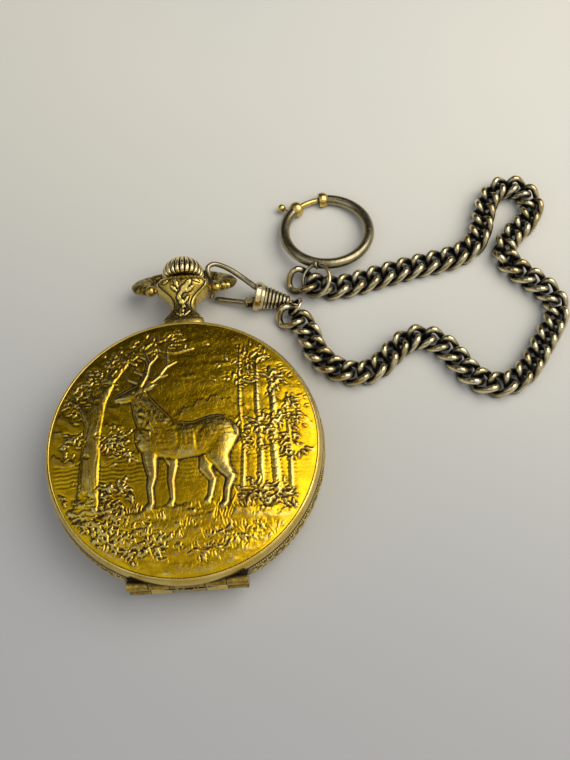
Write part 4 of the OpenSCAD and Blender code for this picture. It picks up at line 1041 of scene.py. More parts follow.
    def oak(self) -> None:
        """Draws an old oak on the left with its furrowed bark and a bough overhead."""
        p = self.plate
        trunk = p.figure(*self.OAK)
        across = p.x + 0.25 * p.noise(0.5, 1.8)
        bark = 0.5 + 0.5 * np.sin(across * 7.5 + 1.5 * np.sin(p.y * 0.8))
        furrowed = np.where(trunk > 0, trunk * (0.84 + 0.2 * bark), 0)
        p.set_on(furrowed, keep=0.0, groove=0.03)

    def birches(self) -> None:
        """Draws slender birches on the right, with rings in their bark."""
        p = self.plate
        birch = p.figure(*((0.15, 0.02, ((x, -9.5, r), (x + lean, -2, r * 0.85),
                                         (x, 6, r * 0.75), (x + lean, top, r * 0.4)))
                           for x, lean, r, top in self.BIRCHES))
        rings = np.sin(p.y * 4.2 + 2 * np.sin(p.x * 1.3)) > 0.86
        ringed = np.where(birch > 0, birch - 0.03 * rings, 0)
        p.set_on(ringed, keep=0.0, groove=0.04, reach=0.2)

    def ground(self) -> None:
        """Draws a knoll of earth and stones with strokes of grass."""
        p = self.plate
        crest = (self.GROUND_Y + 0.9 * bell(p.x - 1, 7.5) - 0.0022 * p.x ** 2
                 + 0.18 * np.sin(p.x * 1.7) + 0.1 * np.sin(p.x * 4.1))
        under = crest - p.y
        slope = 0.13 * (1 - np.exp(-np.clip(under, 0, None) / 0.5)) * np.exp(-under / 14)
        rough = 0.022 * p.noise(1.3, 0.4) + 0.008 * p.noise(0.4, 0.2)
        p.h = np.where(under > 0, slope + rough, p.h)
        stones = np.zeros_like(p.h)
        for _ in range(20):
            x, y = p.rng.uniform(-15, 15), p.rng.uniform(-21, self.GROUND_Y - 0.6)
            r = p.rng.uniform(0.25, 0.75)
            p.limb(stones, (x - r * 0.6, y), (x + r * 0.6, y), r * 0.8, r * 0.6, rise=0.13)
        p.set_on(stones, keep=0.6, groove=0.03, reach=0.15)
        blades = np.zeros_like(p.h)
        for _ in range(170):
            x, y = p.rng.uniform(-19, 19), p.rng.uniform(-22, self.GROUND_Y + 0.6)
            turn = math.pi / 2 + p.rng.normal(0, 0.55)
            p.leaf(blades, x, y, length=p.rng.uniform(0.8, 1.9), width=0.26, turn=turn,
                   height=p.rng.uniform(0.05, 0.11))
        p.set_on(blades, keep=0.7, groove=0.03, reach=0.12)

    def stag(self) -> None:
        """Draws the animal, in profile with its head to the left."""
        p = self.plate
        far = p.figure(*self.FAR_SIDE)
        p.set_on(p.blur(far, 0.05) * (far > 0), keep=0.0, groove=0.045, reach=0.2)
        near = p.figure(*self.BODY, *self.NEAR_LEGS, *self.ANTLER)
        p.leaf(near, *self.TAIL)
        p.leaf(near, *self.EAR)
        solid = near > 0
        near = p.blur(near, 0.07)
        for chase in (self.muscles, self.coat, self.face):
            chase(near, solid)
        p.set_on(np.where(solid, np.maximum(near, 0.02), 0), keep=0.0, groove=0.055, reach=0.22)

    def muscles(self, near: np.ndarray, solid: np.ndarray) -> None:
        """Chases the lines of shoulder, haunch and ribs.

        Args:
            near: The animal's layer, changed in place.
            solid: Where the animal is.
        """
        p = self.plate
        for x, y, r, way, deep in self.MUSCLES:
            dx, dy = p.x - x, (p.y - y) * 0.85
            arc = share(np.cos(np.arctan2(dy, dx) - way) - 0.25)
            near -= deep * arc * bell(np.hypot(dx, dy) - r, 0.38) * solid
        for k in range(5):
            rib = bell(p.x - 0.2 - 0.75 * k + 0.12 * p.y, 0.2)
            near -= 0.018 * rib * bell(p.y - 0.2, 1.5) * solid

    def coat(self, near: np.ndarray, solid: np.ndarray) -> None:
        """Chases the mane and the hair.

        Args:
            near: The animal's layer, changed in place.
            solid: Where the animal is.
        """
        p = self.plate
        mane = bell(p.x + 6.6 + (p.y - 5) * 0.35, 1.7) * (p.y > 0.5) * (p.y < 8.6)
        near += 0.05 * mane * np.sin(p.x * 5.5 + p.y * 2.5 + 1.2 * p.noise(0.4)) * solid
        hair = 0.007 * p.noise(0.6, 0.14) + 0.004 * p.noise(0.2)
        near += hair * solid

    def face(self, near: np.ndarray, solid: np.ndarray) -> None:
        """Chases eye, nostril and mouth.

        Args:
            near: The animal's layer, changed in place.
            solid: Where the animal is.
        """
        p = self.plate
        from_eye, from_nostril = (np.hypot(p.x - x, p.y - y) for x, y in (self.EYE, self.NOSTRIL))
        eye = bell(from_eye, math.sqrt(0.045))
        near += (0.05 * eye - 0.07 * bell(from_eye - 0.36, 0.1)) * solid
        near -= 0.06 * bell(from_nostril, math.sqrt(0.02)) * solid
        mouth = bell(p.y - 8.35 - 0.1 * (p.x + 11), 0.09) * (p.x < -10.3) * (p.x > -12.1)
        near -= 0.05 * mouth * solid

    def foliage(self) -> None:
        """Draws sprays of oak leaves, bushes and tufts of grass round the stag."""
        p = self.plate
        leaves = np.zeros_like(p.h)
        for spray in self.SPRAYS:
            p.spray(leaves, *spray)
        for x, y, lean in self.TUFTS:
            for _ in range(9):
                turn = math.pi / 2 + lean + p.rng.normal(0, 0.28)
                p.leaf(leaves, x + p.rng.normal(0, 0.7), y, length=p.rng.uniform(1.0, 2.3),
                       width=0.26, turn=turn, height=0.14)
        p.set_on(leaves, keep=0.15, groove=0.12, reach=0.16)

    def texture(self) -> None:
        """Draws tool marks over the whole and smooths the picture's border."""
        p = self.plate
        p.h += 0.003 * p.noise(0.14) + 0.008 * p.noise(0.6)
        p.h = p.blur(p.h, 0.06)
        edge = share((FIELD_R - 0.1 - np.hypot(p.x, p.y)) / 0.9)
        p.h *= edge * edge * (3 - 2 * edge)


# Case


@dataclass
class FrontCover:
    """The embossed lid: a stamped picture in a smooth rim, and the knuckles of its hinge."""

    cells: int = 300
    sunk: float = 0.5
    relief: float = 1.45
    wall: float = 0.6
    lip_z: float = BAND_HI + 0.05
    knuckle_r: float = 0.85
    pin_r: float = 0.38
    chamfer: float = 0.08
    knuckles: tuple[float, float] = (3.0, 6.6)
    tab: tuple[tuple[float, float], ...] = ((-0.4, 0.35), (0.58, 0.35), (0.58, 1.04), (-0.4, 1.04))

    def ground(self, r: np.ndarray | float) -> np.ndarray | float:
        """Height of the picture's ground at a radius."""
        return TOP_Z - self.sunk - 1.75 * (r / DOME_R) ** 2.3

    def profile(self) -> list[tuple[float, float]]:
        """Draws the rim's section.

        Returns:
            Radius and height from the picture's edge over the rim to the middle of the inside.
        """
        edge = self.ground(FIELD_R)
        start, side_lo, lip = FIELD_R + 0.16, BAND_HI + 0.81, LIP_R - self.wall
        out = [(FIELD_R + 0.04, edge + 0.05), (FIELD_R + 0.12, edge + 0.05)]
        for t in np.linspace(0, 1, 12):
            bulge = 0.096 * math.sin(math.pi * t) * (1 - 0.3 * t)
            out.append((start + (LIP_R - start) * t ** 0.75 + bulge,
                        edge + 0.02 + (side_lo - edge) * t ** 1.15 + bulge))
        out += [(LIP_R, z) for z in (9.1, 8.95, 8.8, 8.68, 8.59)]
        out += [(LIP_R - 0.04, self.lip_z), (lip + 0.04, self.lip_z), (lip, self.lip_z + 0.05)]
        out += [(lip, z) for z in (8.75, 8.95, 9.3)]
        for turn in np.linspace(0, math.pi / 2, 6):
            out.append((DOME_R - self.wall + 0.9 * math.cos(turn), 9.3 + 1.3 * math.sin(turn)))
        return out + [(r, self.ground(r) - 0.5) for r in (20.0, 15.0, 10.0, 5.0, 0.6)]

    def round_grid(self) -> tuple[np.ndarray, np.ndarray]:
        """Bends a square grid into the picture's round field.

        Returns:
            x and y of the grid's points, whose squares become circles.
        """
        line = np.linspace(-1, 1, self.cells + 1)
        u, v = np.meshgrid(line, line)
        wide = np.abs(u) >= np.abs(v)
        r = np.where(wide, u, v)
        with np.errstate(divide="ignore", invalid="ignore"):
            turn = np.where(wide, math.pi / 4 * v / u, math.pi / 2 - math.pi / 4 * u / v)
        turn = np.nan_to_num(turn)
        return FIELD_R * r * np.cos(turn), FIELD_R * r * np.sin(turn)

    def build(self) -> None:
        """Builds the shell as one closed mesh, then the knuckles."""
        picture = WoodlandScene().plate
        x, y = self.round_grid()
        z = self.ground(np.hypot(x, y)) + self.relief * picture.sample(picture.h, x, y)
        top = np.stack([x, y, np.minimum(z, TOP_Z + 0.12)], -1).reshape(-1, 3)
        square = np.arange(len(top)).reshape(x.shape)
        border = np.concatenate([square[0, :-1], square[:-1, -1], square[-1, :0:-1],
                                 square[:0:-1, 0]])
        rings = round_z(self.profile(), np.arctan2(top[border, 1], top[border, 0]))
        self.clear_hinge(rings)
        picture_faces = grid_faces(*x.shape, False)
        faces = self.shell(picture_faces, border, len(top), len(rings))
        plain = np.zeros(len(rings) * len(border))
        masks = [np.concatenate([picture.sample(mask, x, y).ravel(), plain + rim])
                 for mask, rim in ((picture.recess(), 0.0), (picture.raised(), 0.9))]
        piece = relief_piece("front_cover_embossed", np.concatenate([top, rings.reshape(-1, 3)]),
                             faces, *masks)
        finished(piece, LID_GOLD, "front_cover", "cover_gold", "front_cover")
        piece.data.materials.append(RIM_GOLD.material())
        index = np.zeros(len(piece.data.polygons), np.int32)
        index[len(picture_faces):] = 1
        piece.data.polygons.foreach_set("material_index", index)
        self.build_knuckles()

    def shell(self, picture_faces: np.ndarray, border: np.ndarray, start: int,
              rows: int) -> list[list[int]]:
        """Joins the picture to the rim and closes the inside.

        Args:
            picture_faces: Faces of the picture.
            border: Numbers of the points along the picture's edge.
            start: Number of the rim's first point.
            rows: Number of the rim's rings.

        Returns:
            All faces, the picture's first.
        """
        cols = len(border)
        first = start + np.arange(cols)
        joined = np.stack([border, np.roll(border, -1), np.roll(first, -1), first], -1)
        skirt = grid_faces(rows, cols) + start
        faces = np.concatenate([picture_faces, joined[:, ::-1], skirt[:, ::-1]]).tolist()
        return [*faces, (first + (rows - 1) * cols).tolist()]

    def clear_hinge(self, rings: np.ndarray) -> None:
        """Lifts the lip off the cylinder in which the band's knuckles stand.

        Args:
            rings: The rim's points, changed in place.
        """
        room, half = self.knuckle_r + 0.1, 10.4
        dy = rings[..., 1] + HINGE_Y
        lifted = BAND_HI - HINGE_DROP + np.sqrt(np.clip(room ** 2 - dy ** 2, 0, None))
        inside = (np.abs(rings[..., 0]) < half) & (np.abs(dy) < room) & (rings[..., 2] < lifted)
        rings[..., 2] = np.where(inside, lifted, rings[..., 2])

    def build_knuckles(self) -> None:
        """Builds two barrels with chamfered ends and the tabs that join them to the lip."""
        made = Swept()
        r, c, z = self.knuckle_r, self.chamfer, BAND_HI - HINGE_DROP
        start, end = self.knuckles
        length = end - start
        barrel = [(self.pin_r, 0), (r - c, 0), (r, c), (r, length - c), (r - c, length),
                  (self.pin_r, length), (self.pin_r, 0)]
        for side in (-1, 1):
            made.turned(barrel, posed((side * start, -HINGE_Y, z), math.pi / 2 * side, "Y"), 40)
            made.rings(np.array([[(x, v - HINGE_Y, z + w) for v, w in self.tab]
                                 for x in sorted((side * start, side * end))]), False)
        piece = made.piece("front_cover_knuckles")
        piece.data.polygons.foreach_set("use_smooth", [False] * len(piece.data.polygons))
        # The knuckles take the darkened gold: painted shade
        finished(piece, SHADED_CASE_GOLD, "front_cover", "cover_gold")


@dataclass
class CaseBand:
    """The band between the covers, engraved all round with a running scroll of leaves."""

    units: int = 30
    wave: float = 0.85
    vine_r: float = 0.15
    beads: int = 12
    bead_r: float = 0.13
    swell: float = 0.2
    rise: float = 0.3
    room: float = 1.3
    hinge_half: float = 11.2
    neck_half: float = 5.2
    fade: float = 0.5
    vine_high: float = 0.15
    bed: float = 0.03
    sunk: float = 0.3
    cols: int = 2100
    rows: int = 40

    @property
    def repeat(self) -> float:
        """Length of one repeat of the scroll."""
        return 2 * math.pi * CASE_R / self.units

    def scroll(self) -> ReliefPlate:
        """Draws one repeat of the scroll and its neighbours.

        Returns:
            The plate, its middle at the repeat's middle.
        """
        length = self.repeat
        p = ReliefPlate(length * 3, BAND_HI - BAND_LO, 0.04)
        vine = np.zeros_like(p.h)
        for part in range(-2, 3):
            x0 = part * length
            p.limbs(vine, [(x0 + length * t / 16, self.wave * math.sin(2 * math.pi * t / 16),
                            self.vine_r) for t in range(17)], rise=0.3, lift=0.02)
            for flip, at in ((1, 0.25), (-1, 0.75)):
                cx, cy = x0 + length * at, -flip * 0.55
                for k in range(5):
                    p.leaf(vine, cx, cy, length=0.66, width=0.4, turn=k * math.pi / 2.5 + 0.3,
                           height=0.16)
                for shift, turn, size in ((-0.75, 2.3, 1.15), (0.0, 1.45, 1.0), (0.7, 0.75, 1.15)):
                    p.leaf(vine, cx + shift, flip * 0.85, size, width=0.5, turn=flip * turn,
                           height=0.17, lobes=0.3)
        for edge in (-1, 1):
            for x in np.arange(-length * 1.5, length * 1.5, length / self.beads):
                p.limb(vine, (x, edge * 2.04), (x + 0.12, edge * 2.1), self.bead_r, self.bead_r,
                       rise=0.36)
        p.h = p.blur(np.minimum(vine, 0.19), 0.03) + 0.004 * p.noise(0.15)
        return p

    def build(self) -> None:
        """Wraps the scroll round the band and keeps it clear of the hinges and the pendant."""
        p = self.scroll()
        a, t = np.meshgrid(circle(self.cols), np.linspace(0.01, 0.99, self.rows))
        u = (a * CASE_R + self.repeat / 2) % self.repeat - self.repeat / 2
        h = p.sample(p.h, u, (t - 0.5) * (BAND_HI - BAND_LO))
        x, y = CASE_R * np.cos(a), CASE_R * np.sin(a)
        edge = share(np.minimum(t, 1 - t) / 0.05)
        near_hinge = share((self.hinge_half - np.abs(x)) / self.fade) * (y < 0)
        near_neck = share((self.neck_half - np.abs(x)) / self.fade) * (y > 0)
        sink = np.maximum.reduce([1 - edge, near_hinge, near_neck])
        r = (CASE_R + self.swell * np.sin(math.pi * t) + h * self.rise / self.vine_high
             - self.bed - self.sunk * sink)
        z = BAND_LO + (BAND_HI - BAND_LO) * t
        inner = CASE_R - 0.5
        rows = [np.stack([inner * np.cos(a[k]), inner * np.sin(a[k]), z[k]], -1) for k in (0, -1)]
        outer = np.stack([r * np.cos(a), r * np.sin(a), z], -1)
        rings = np.concatenate([rows[:1], outer, rows[1:]])
        self.clear_hinges(rings)
        pad = np.zeros((1, self.cols))
        # Recess and raised masks: the raised scroll takes the band gold's painted highlight
        masks = [np.concatenate([pad, values, pad]).ravel()
                 for values in (share(1 - h / 0.09), share(h / 0.13))]
        piece = relief_piece("band_scroll_engraving", rings,
                             grid_faces(len(rings), self.cols, True, True), *masks)
        finished(piece, BAND_GOLD, "case", "case_gold")
        dress(SHADED_CASE_GOLD, "case_band")

    def clear_hinges(self, rings: np.ndarray) -> None:
        """Ends the strip at the room in which each cover's lip swings down.

        Args:
            rings: The strip's points, changed in place.
        """
        half = self.hinge_half - 0.2
        off = rings[..., 1] + HINGE_Y
        near = (np.abs(rings[..., 0]) < half) & (np.abs(off) < self.room)
        drop = np.sqrt(np.clip(self.room ** 2 - off ** 2, 0, None))
        low, high = BAND_LO + HINGE_DROP + drop, BAND_HI - HINGE_DROP - drop
        rings[..., 2] = np.where(near, np.clip(rings[..., 2], low, high), rings[..., 2])


@dataclass
class Pendant:
    """The cast neck: a waisted vase with chased borders and an acanthus on front and back."""

    wide: float = 5.35
    deep: float = 3.6
    stem: float = 0.74
    cols: int = 240
    panel_in: float = 0.95
    border_in: float = 0.85
    border_wide: float = 0.17
    chased: float = 0.16
    foot_line: float = 1.75
    # Height over the foot, and half width as a share of the widest, seen from the front
    front: tuple[tuple[float, float], ...] = (
        (0.0, 0.77), (1.0, 0.775), (2.0, 0.735), (2.7, 0.63), (3.5, 0.51), (4.4, 0.455),
        (5.3, 0.47), (6.2, 0.55), (7.1, 0.70), (8.0, 0.875), (8.7, 0.985), (9.4, 1.0),
        (9.9, 0.965), (10.3, 0.9))
    # The same seen from the side
    side: tuple[tuple[float, float], ...] = (
        (0.0, 0.6), (1.0, 0.61), (2.0, 0.595), (2.7, 0.575), (3.5, 0.565), (4.4, 0.57),
        (5.3, 0.6), (6.2, 0.67), (7.1, 0.78), (8.0, 0.9), (8.7, 0.98), (9.4, 1.0),
        (9.9, 0.955), (10.3, 0.88))
    # Stem x and y, direction, length, width and height of each leaf
    leaves: tuple[tuple[float, ...], ...] = (
        (2.0, 4.2, -2.3, 4.7, 1.35, 0.36), (-1.5, 4.5, -1.15, 2.2, 0.9, 0.26),
        (-2.2, 3.2, -0.75, 1.9, 0.75, 0.22), (2.3, 2.9, -2.5, 2.0, 0.8, 0.24),
        (-1.0, 1.5, -1.05, 3.3, 1.1, 0.3), (1.3, 1.2, -2.2, 1.9, 0.7, 0.22),
        (-0.2, -1.0, -1.7, 1.9, 0.65, 0.2), (0.0, -3.1, 1.57, 2.6, 0.75, 0.24),
        (0.2, -3.1, 0.75, 2.0, 0.7, 0.2), (-0.2, -3.1, 2.39, 2.0, 0.7, 0.2),
        (2.2, 4.4, -0.5, 1.7, 0.8, 0.22), (-2.6, 4.3, -2.6, 1.4, 0.7, 0.2))
    # Share of the last section and height of each ring of the rounded lip
    lip: tuple[tuple[float, float], ...] = (
        (0.985, 10.44), (0.95, 10.5), (0.90, 10.46), (0.86, 10.3), (0.82, 10.05))

    def acanthus(self) -> ReliefPlate:
        """Draws the foliage of the front panel.

        Returns:
            The plate, its middle at the middle of the neck's height.
        """
        p = ReliefPlate(10.8, 10.8, 0.04, SEED + 3)
        layer = np.zeros_like(p.h)
        for x, y, turn, length, wide, height in self.leaves:
            p.leaf(layer, x, y, length, wide, turn, height, lobes=0.38)
        p.set_on(p.blur(layer, 0.03) * (layer > 0), keep=0.0, groove=0.12, reach=0.16)
        p.h += 0.006 * p.noise(0.14)
        return p

    def build(self) -> None:
        """Skins the neck from the foot over the lip and down the stem's bore."""
        angle = circle(self.cols)
        c, s = np.cos(angle), np.sin(angle)
        squared = (np.abs(c) ** 3 + np.abs(s) ** 3) ** (-1 / 3)
        rings, recess, raised = self.skin(c * squared, s * squared)
        wide, deep = self.front[-1][1] * self.wide, self.side[-1][1] * self.deep
        rings += [level(c * squared * wide * part, y, s * squared * deep * part)
                  for part, y in self.lip]
        bore = [(2.3, 10.0), (1.2, 9.98), *((self.stem, y) for y in (9.95, 7.0, 3.0, -1.1)),
                (2.0, -1.1), (2.05, 0.3)]
        rings += [level(r * c, y, r * s) for r, y in bore]
        points = np.array(rings)
        points[..., 1] += CASE_R
        self.seat_on_band(points[:8])
        self.bore_pivots(points)
        points[..., 2] += MID_Z
        pads = [np.full((count, self.cols), value)
                for count, value in ((len(self.lip), 0.25), (len(bore), 1.0),
                                     (len(self.lip) + len(bore), 0.5))]
        piece = relief_piece("pendant_cast", points,
                             grid_faces(len(points), self.cols, True, True),
                             np.concatenate([recess, *pads[:2]]), np.concatenate([raised, pads[2]]))
        finished(piece, ORNAMENT_GOLD, "case", "case_gold", "pendant")

    def skin(self, c: np.ndarray, s: np.ndarray) -> tuple[list, list, list]:
        """Draws the neck's outer rings with foliage on front and back and a chased border.

        Args:
            c: Points of the section along x, for a half width of one.
            s: Points of the section along z.

        Returns:
            Rings of points, how dark each point is, in its recesses and lower on the plain panel,
            and how raised it is.
        """
        p = self.acanthus()
        recess_map, raised_map = p.recess(), p.raised()
        rings, recess, raised = [], [], []
        for (y, w), (_, d) in zip(smooth_line(self.front, 7), smooth_line(self.side, 7)):
            x, z = c * w * self.wide, s * d * self.deep
            v = np.full(self.cols, y - 5.15)
            inward = w * self.wide - np.abs(x)
            facing = share((inward - self.panel_in) / 0.25) * (y > 1.9)
            border = bell(inward - self.border_in, self.border_wide) * (np.abs(s) > 0.5)
            line = np.maximum(border * (y > 1.7) * (y < 9.5),
                              bell(y - self.foot_line, 0.16) * (inward > 0.3))
            relief = p.sample(p.h, x, v)
            lift = relief * facing * 0.9 - self.chased * line
            rings.append(level(x, y, z + np.sign(s) * lift))
            # Plain ground of the front panel darkened from the shoulders down towards the foot,
            # through the recess mask
            panel = 0.65 * facing * min(max((7.2 - y) / 3, 0), 1) * (relief < 0.08)
            recess.append(share(np.maximum(p.sample(recess_map, x, v) * facing + panel,
                                           1.3 * line)))
            raised.append(p.sample(raised_map, x, v) * facing + 0.6 * (1 - facing))
        return rings, recess, raised

    def seat_on_band(self, rings: np.ndarray) -> None:
        """Lifts the foot off the band's curve.

        Args:
            rings: The lowest rings, changed in place.
        """
        scroll_r = CASE_R + 0.26
        least = np.sqrt(scroll_r ** 2 - rings[..., 0] ** 2)
        rows = np.arange(len(rings))[:, None] * 0.02
        rings[..., 1] = np.maximum(rings[..., 1], least + rows)
        rings[0, :, 1] = least[0]

    def bore_pivots(self, rings: np.ndarray) -> None:
        """Sinks the sockets of the bow's pivots into the shoulders.

        Args:
            rings: The neck's points, changed in place.
        """
        socket_r, socket_x = 0.86, 3.6
        off = np.hypot(rings[..., 1] - PIVOT_Y, rings[..., 2])
        inside = (off < socket_r) & (np.abs(rings[..., 0]) > socket_x - 0.2)
        rings[..., 0] = np.where(inside, np.sign(rings[..., 0]) * socket_x, rings[..., 0])


@dataclass
class Crown:
    """The winding crown: a dome of sharp flutes with a small button."""

    flutes: int = 24
    per_flute: int = 14
    largest: float = 4.15
    seat_y: float = 35.7
    seat: float = 0.45
    valley_wide: float = 0.47
    valley_deep: float = 0.6
    first_valley: float = math.radians(11.25)
    # Height, and radius as a share of the largest
    dome: tuple[tuple[float, float], ...] = (
        (0.0, 0.52), (0.34, 0.58), (0.58, 0.80), (0.95, 0.95), (1.7, 1.0), (2.7, 0.97),
        (3.7, 0.85), (4.5, 0.67), (5.1, 0.45), (5.3, 0.34))
    # Height and radius of each ring of the button
    button: tuple[tuple[float, float], ...] = (
        (5.32, 1.18), (5.55, 1.1), (5.67, 0.85), (5.7, 0.4), (5.7, 0.05))

    def build(self) -> None:
        """Builds the fluted skin over the crown's profile, its valleys marked as recessed."""
        cols = self.flutes * self.per_flute
        angle = circle(cols)
        valley = bell(np.sin(self.flutes * (angle - self.first_valley) / 2), self.valley_wide)
        rows = [(0.0, self.seat * self.largest, valley)]
        for height, part in smooth_line(self.dome, 5):
            depth = self.valley_deep * part ** 1.3
            rows.append((height, part * self.largest - depth * valley, valley * 1.25))
        rows += [(height, r, np.zeros(cols)) for height, r in self.button]
        rings = [level(r * np.cos(angle), height, -r * np.sin(angle)) for height, r, _ in rows]
        dark = share(np.array([recess for _, _, recess in rows]))
        ends = [list(range(cols)), [(len(rings) - 1) * cols + k for k in range(cols)]]
        piece = relief_piece("crown_fluted", np.array(rings) + (0, self.seat_y, MID_Z),
                             [*grid_faces(len(rings), cols).tolist(), *ends], dark, 1 - dark)
        finished(piece, CROWN_GOLD, "crown", "case_gold", "crown")
        dress(STEEL, "winding_stem")


@dataclass
class Bow:
    """The cast stirrup, folded back, with leaf scales along its arms."""

    # Folded until its far end, 8.7 from the pivots, rests 0.9 over the floor
    tilt: float = math.asin((MID_Z - 0.9) / 8.7)
    path: tuple[tuple[float, float], ...] = (
        (6.5, 0.2), (7.6, 0.95), (8.55, 2.3), (8.3, 3.9), (7.0, 5.5), (4.6, 7.1), (2.2, 8.35),
        (0, 8.7))
    sides: int = 30
    scales: int = 15
    arm_r: float = 0.86
    thicker: float = 0.12
    # Height, middle and half width, along the arm, of the humps at the shoulders
    shoulder: tuple[float, float, float] = (0.14, 0.72, 0.22)
    broad: tuple[float, float, float] = (0.95, 0.66, 0.32)
    collar: tuple[tuple[float, float], ...] = ((0.58, -1.4), (0.6, -1.35), (0.6, 0.05))
    pivot_x: float = 5.45
    ball_r: float = 1.1

    def at(self, x: float, v: float) -> tuple[float, float, float]:
        """Place of a point of the bow's own plane."""
        return x, PIVOT_Y + v * math.cos(self.tilt), MID_Z - v * math.sin(self.tilt)

    def build(self) -> None:
        """Sweeps the arms and adds the pivot balls with their collars."""
        half = smooth_line([self.at(*p) for p in self.path], 14)
        line = np.concatenate([half, half[-2::-1] * (-1, 1, 1)])
        radii, cut = self.arms(line)
        made = Swept()
        made.wire(line, radii, self.sides)
        turns = np.radians(np.arange(32, 173, 8))
        ball = [(self.ball_r * math.sin(a) + 0.01, self.ball_r * (1 - math.cos(a))) for a in turns]
        profile = [*self.collar, *ball]
        for side in (-1, 1):
            pivot = (side * self.pivot_x, PIVOT_Y, MID_Z)
            made.turned(profile, posed(pivot, math.pi / 2 * side, "Y"), 40)
        points = np.concatenate(made.points)
        dark = np.zeros(len(points))
        dark[:cut.size] = share(0.95 - 1.2 * cut).ravel()
        piece = relief_piece("bow_cast", points, made.faces, dark, 0.75 - 0.75 * dark)
        finished(piece, BOW_GOLD, "bow", "case_gold", "bow")

    def arms(self, line: np.ndarray) -> tuple[np.ndarray, np.ndarray]:
        """Shapes the arms' sections, broad at the shoulders and cut into leaf scales.

        Args:
            line: Points along the bow's middle.

        Returns:
            Radius, and height of the scale, at each point and side of the section.
        """
        t = np.abs(2 * np.arange(len(line)) / (len(line) - 1) - 1)
        radii = self.arm_r + self.thicker * t + hump(t, *self.shoulder)
        broad = 1 + hump(t, *self.broad)
        turn = circle(self.sides)
        ahead = unit(line[1] - line[0])
        side = unit(np.cross(ahead, (0, 0, 1)))
        normal = np.array([0.0, math.sin(self.tilt), math.cos(self.tilt)])
        wide, deep = (np.cos(turn) * (side @ way) + np.sin(turn) * (np.cross(ahead, side) @ way)
                      for way in (np.cross(normal, ahead), normal))
        oval = 1 / np.sqrt((wide / broad[:, None]) ** 2 + deep ** 2)
        row = t * self.scales
        lobe = np.abs(np.sin(2 * turn + np.floor(row)[:, None] * math.pi / 2))
        cut = np.sqrt(share(1 - row % 1))[:, None] * (0.3 + 0.7 * lobe)
        return radii[:, None] * oval * (0.90 + 0.13 * cut), cut


# Clip, chain and rings


def at_pivot(p: Sequence[float]) -> tuple[float, float, float]:
    """Place of a point measured from the bow's pivots."""
    return p[0], p[1] + PIVOT_Y, p[2]


@dataclass
class SpringClip:
    """The spring clip: its hook wire is rebuilt smooth, its ferrule and gate are dressed."""

    wire_r: float = 0.62
    taper: float = 0.12
    path: tuple[tuple[float, float, float], ...] = (
        (15.6, 0.35, 3.5), (14.2, 0.85, 3.95), (11.8, 2.9, 4.3), (9, 4.8, 5.1), (6.4, 5.7, 5.7),
        (5, 4.7, 6.1), (5.15, 3.3, 5.2), (5.4, 2.3, 3.6), (5.4, 1.5, 2), (5.1, 0.5, 1.1))
    gate_tip: tuple[float, float, float] = (5.9, 0.2, 1.1)
    gate_pin: tuple[float, float, float] = (12.2, -1.6, 1.9)
    # Radius of the gate's arm at shares of its length
    gate_shape: tuple[tuple[float, float], ...] = ((0, 0.42), (0.05, 0.6), (0.9, 0.6), (1, 0.46))

    def build(self) -> None:
        """Sweeps the hook and the gate's arm and dresses the rest."""
        bend = smooth_line([at_pivot(p) for p in self.path], 9)
        along = np.arange(len(bend)) / len(bend)
        hook, gate = Swept(), Swept()
        hook.wire(bend, self.wire_r - self.taper * np.minimum(1, 2 * along), 18)
        finished(hook.piece("clip_hook_wire"), RING_NICKEL, "clip", "nickel_silver", "clip_hook")
        tip, pin = (np.array(at_pivot(p)) for p in (self.gate_tip, self.gate_pin))
        steps = np.linspace(0, 1, 14)
        radii = np.interp(steps, *zip(*self.gate_shape))
        gate.wire(tip + (pin - tip) * steps[:, None], radii, 20)
        finished(gate.piece("clip_gate_arm"), RING_NICKEL, "clip_gate", "nickel_silver")
        dress(RING_NICKEL, "clip_gate")
        dress(CHAMPAGNE, "clip_ferrule")
        dress(NICKEL, "clip_ring")


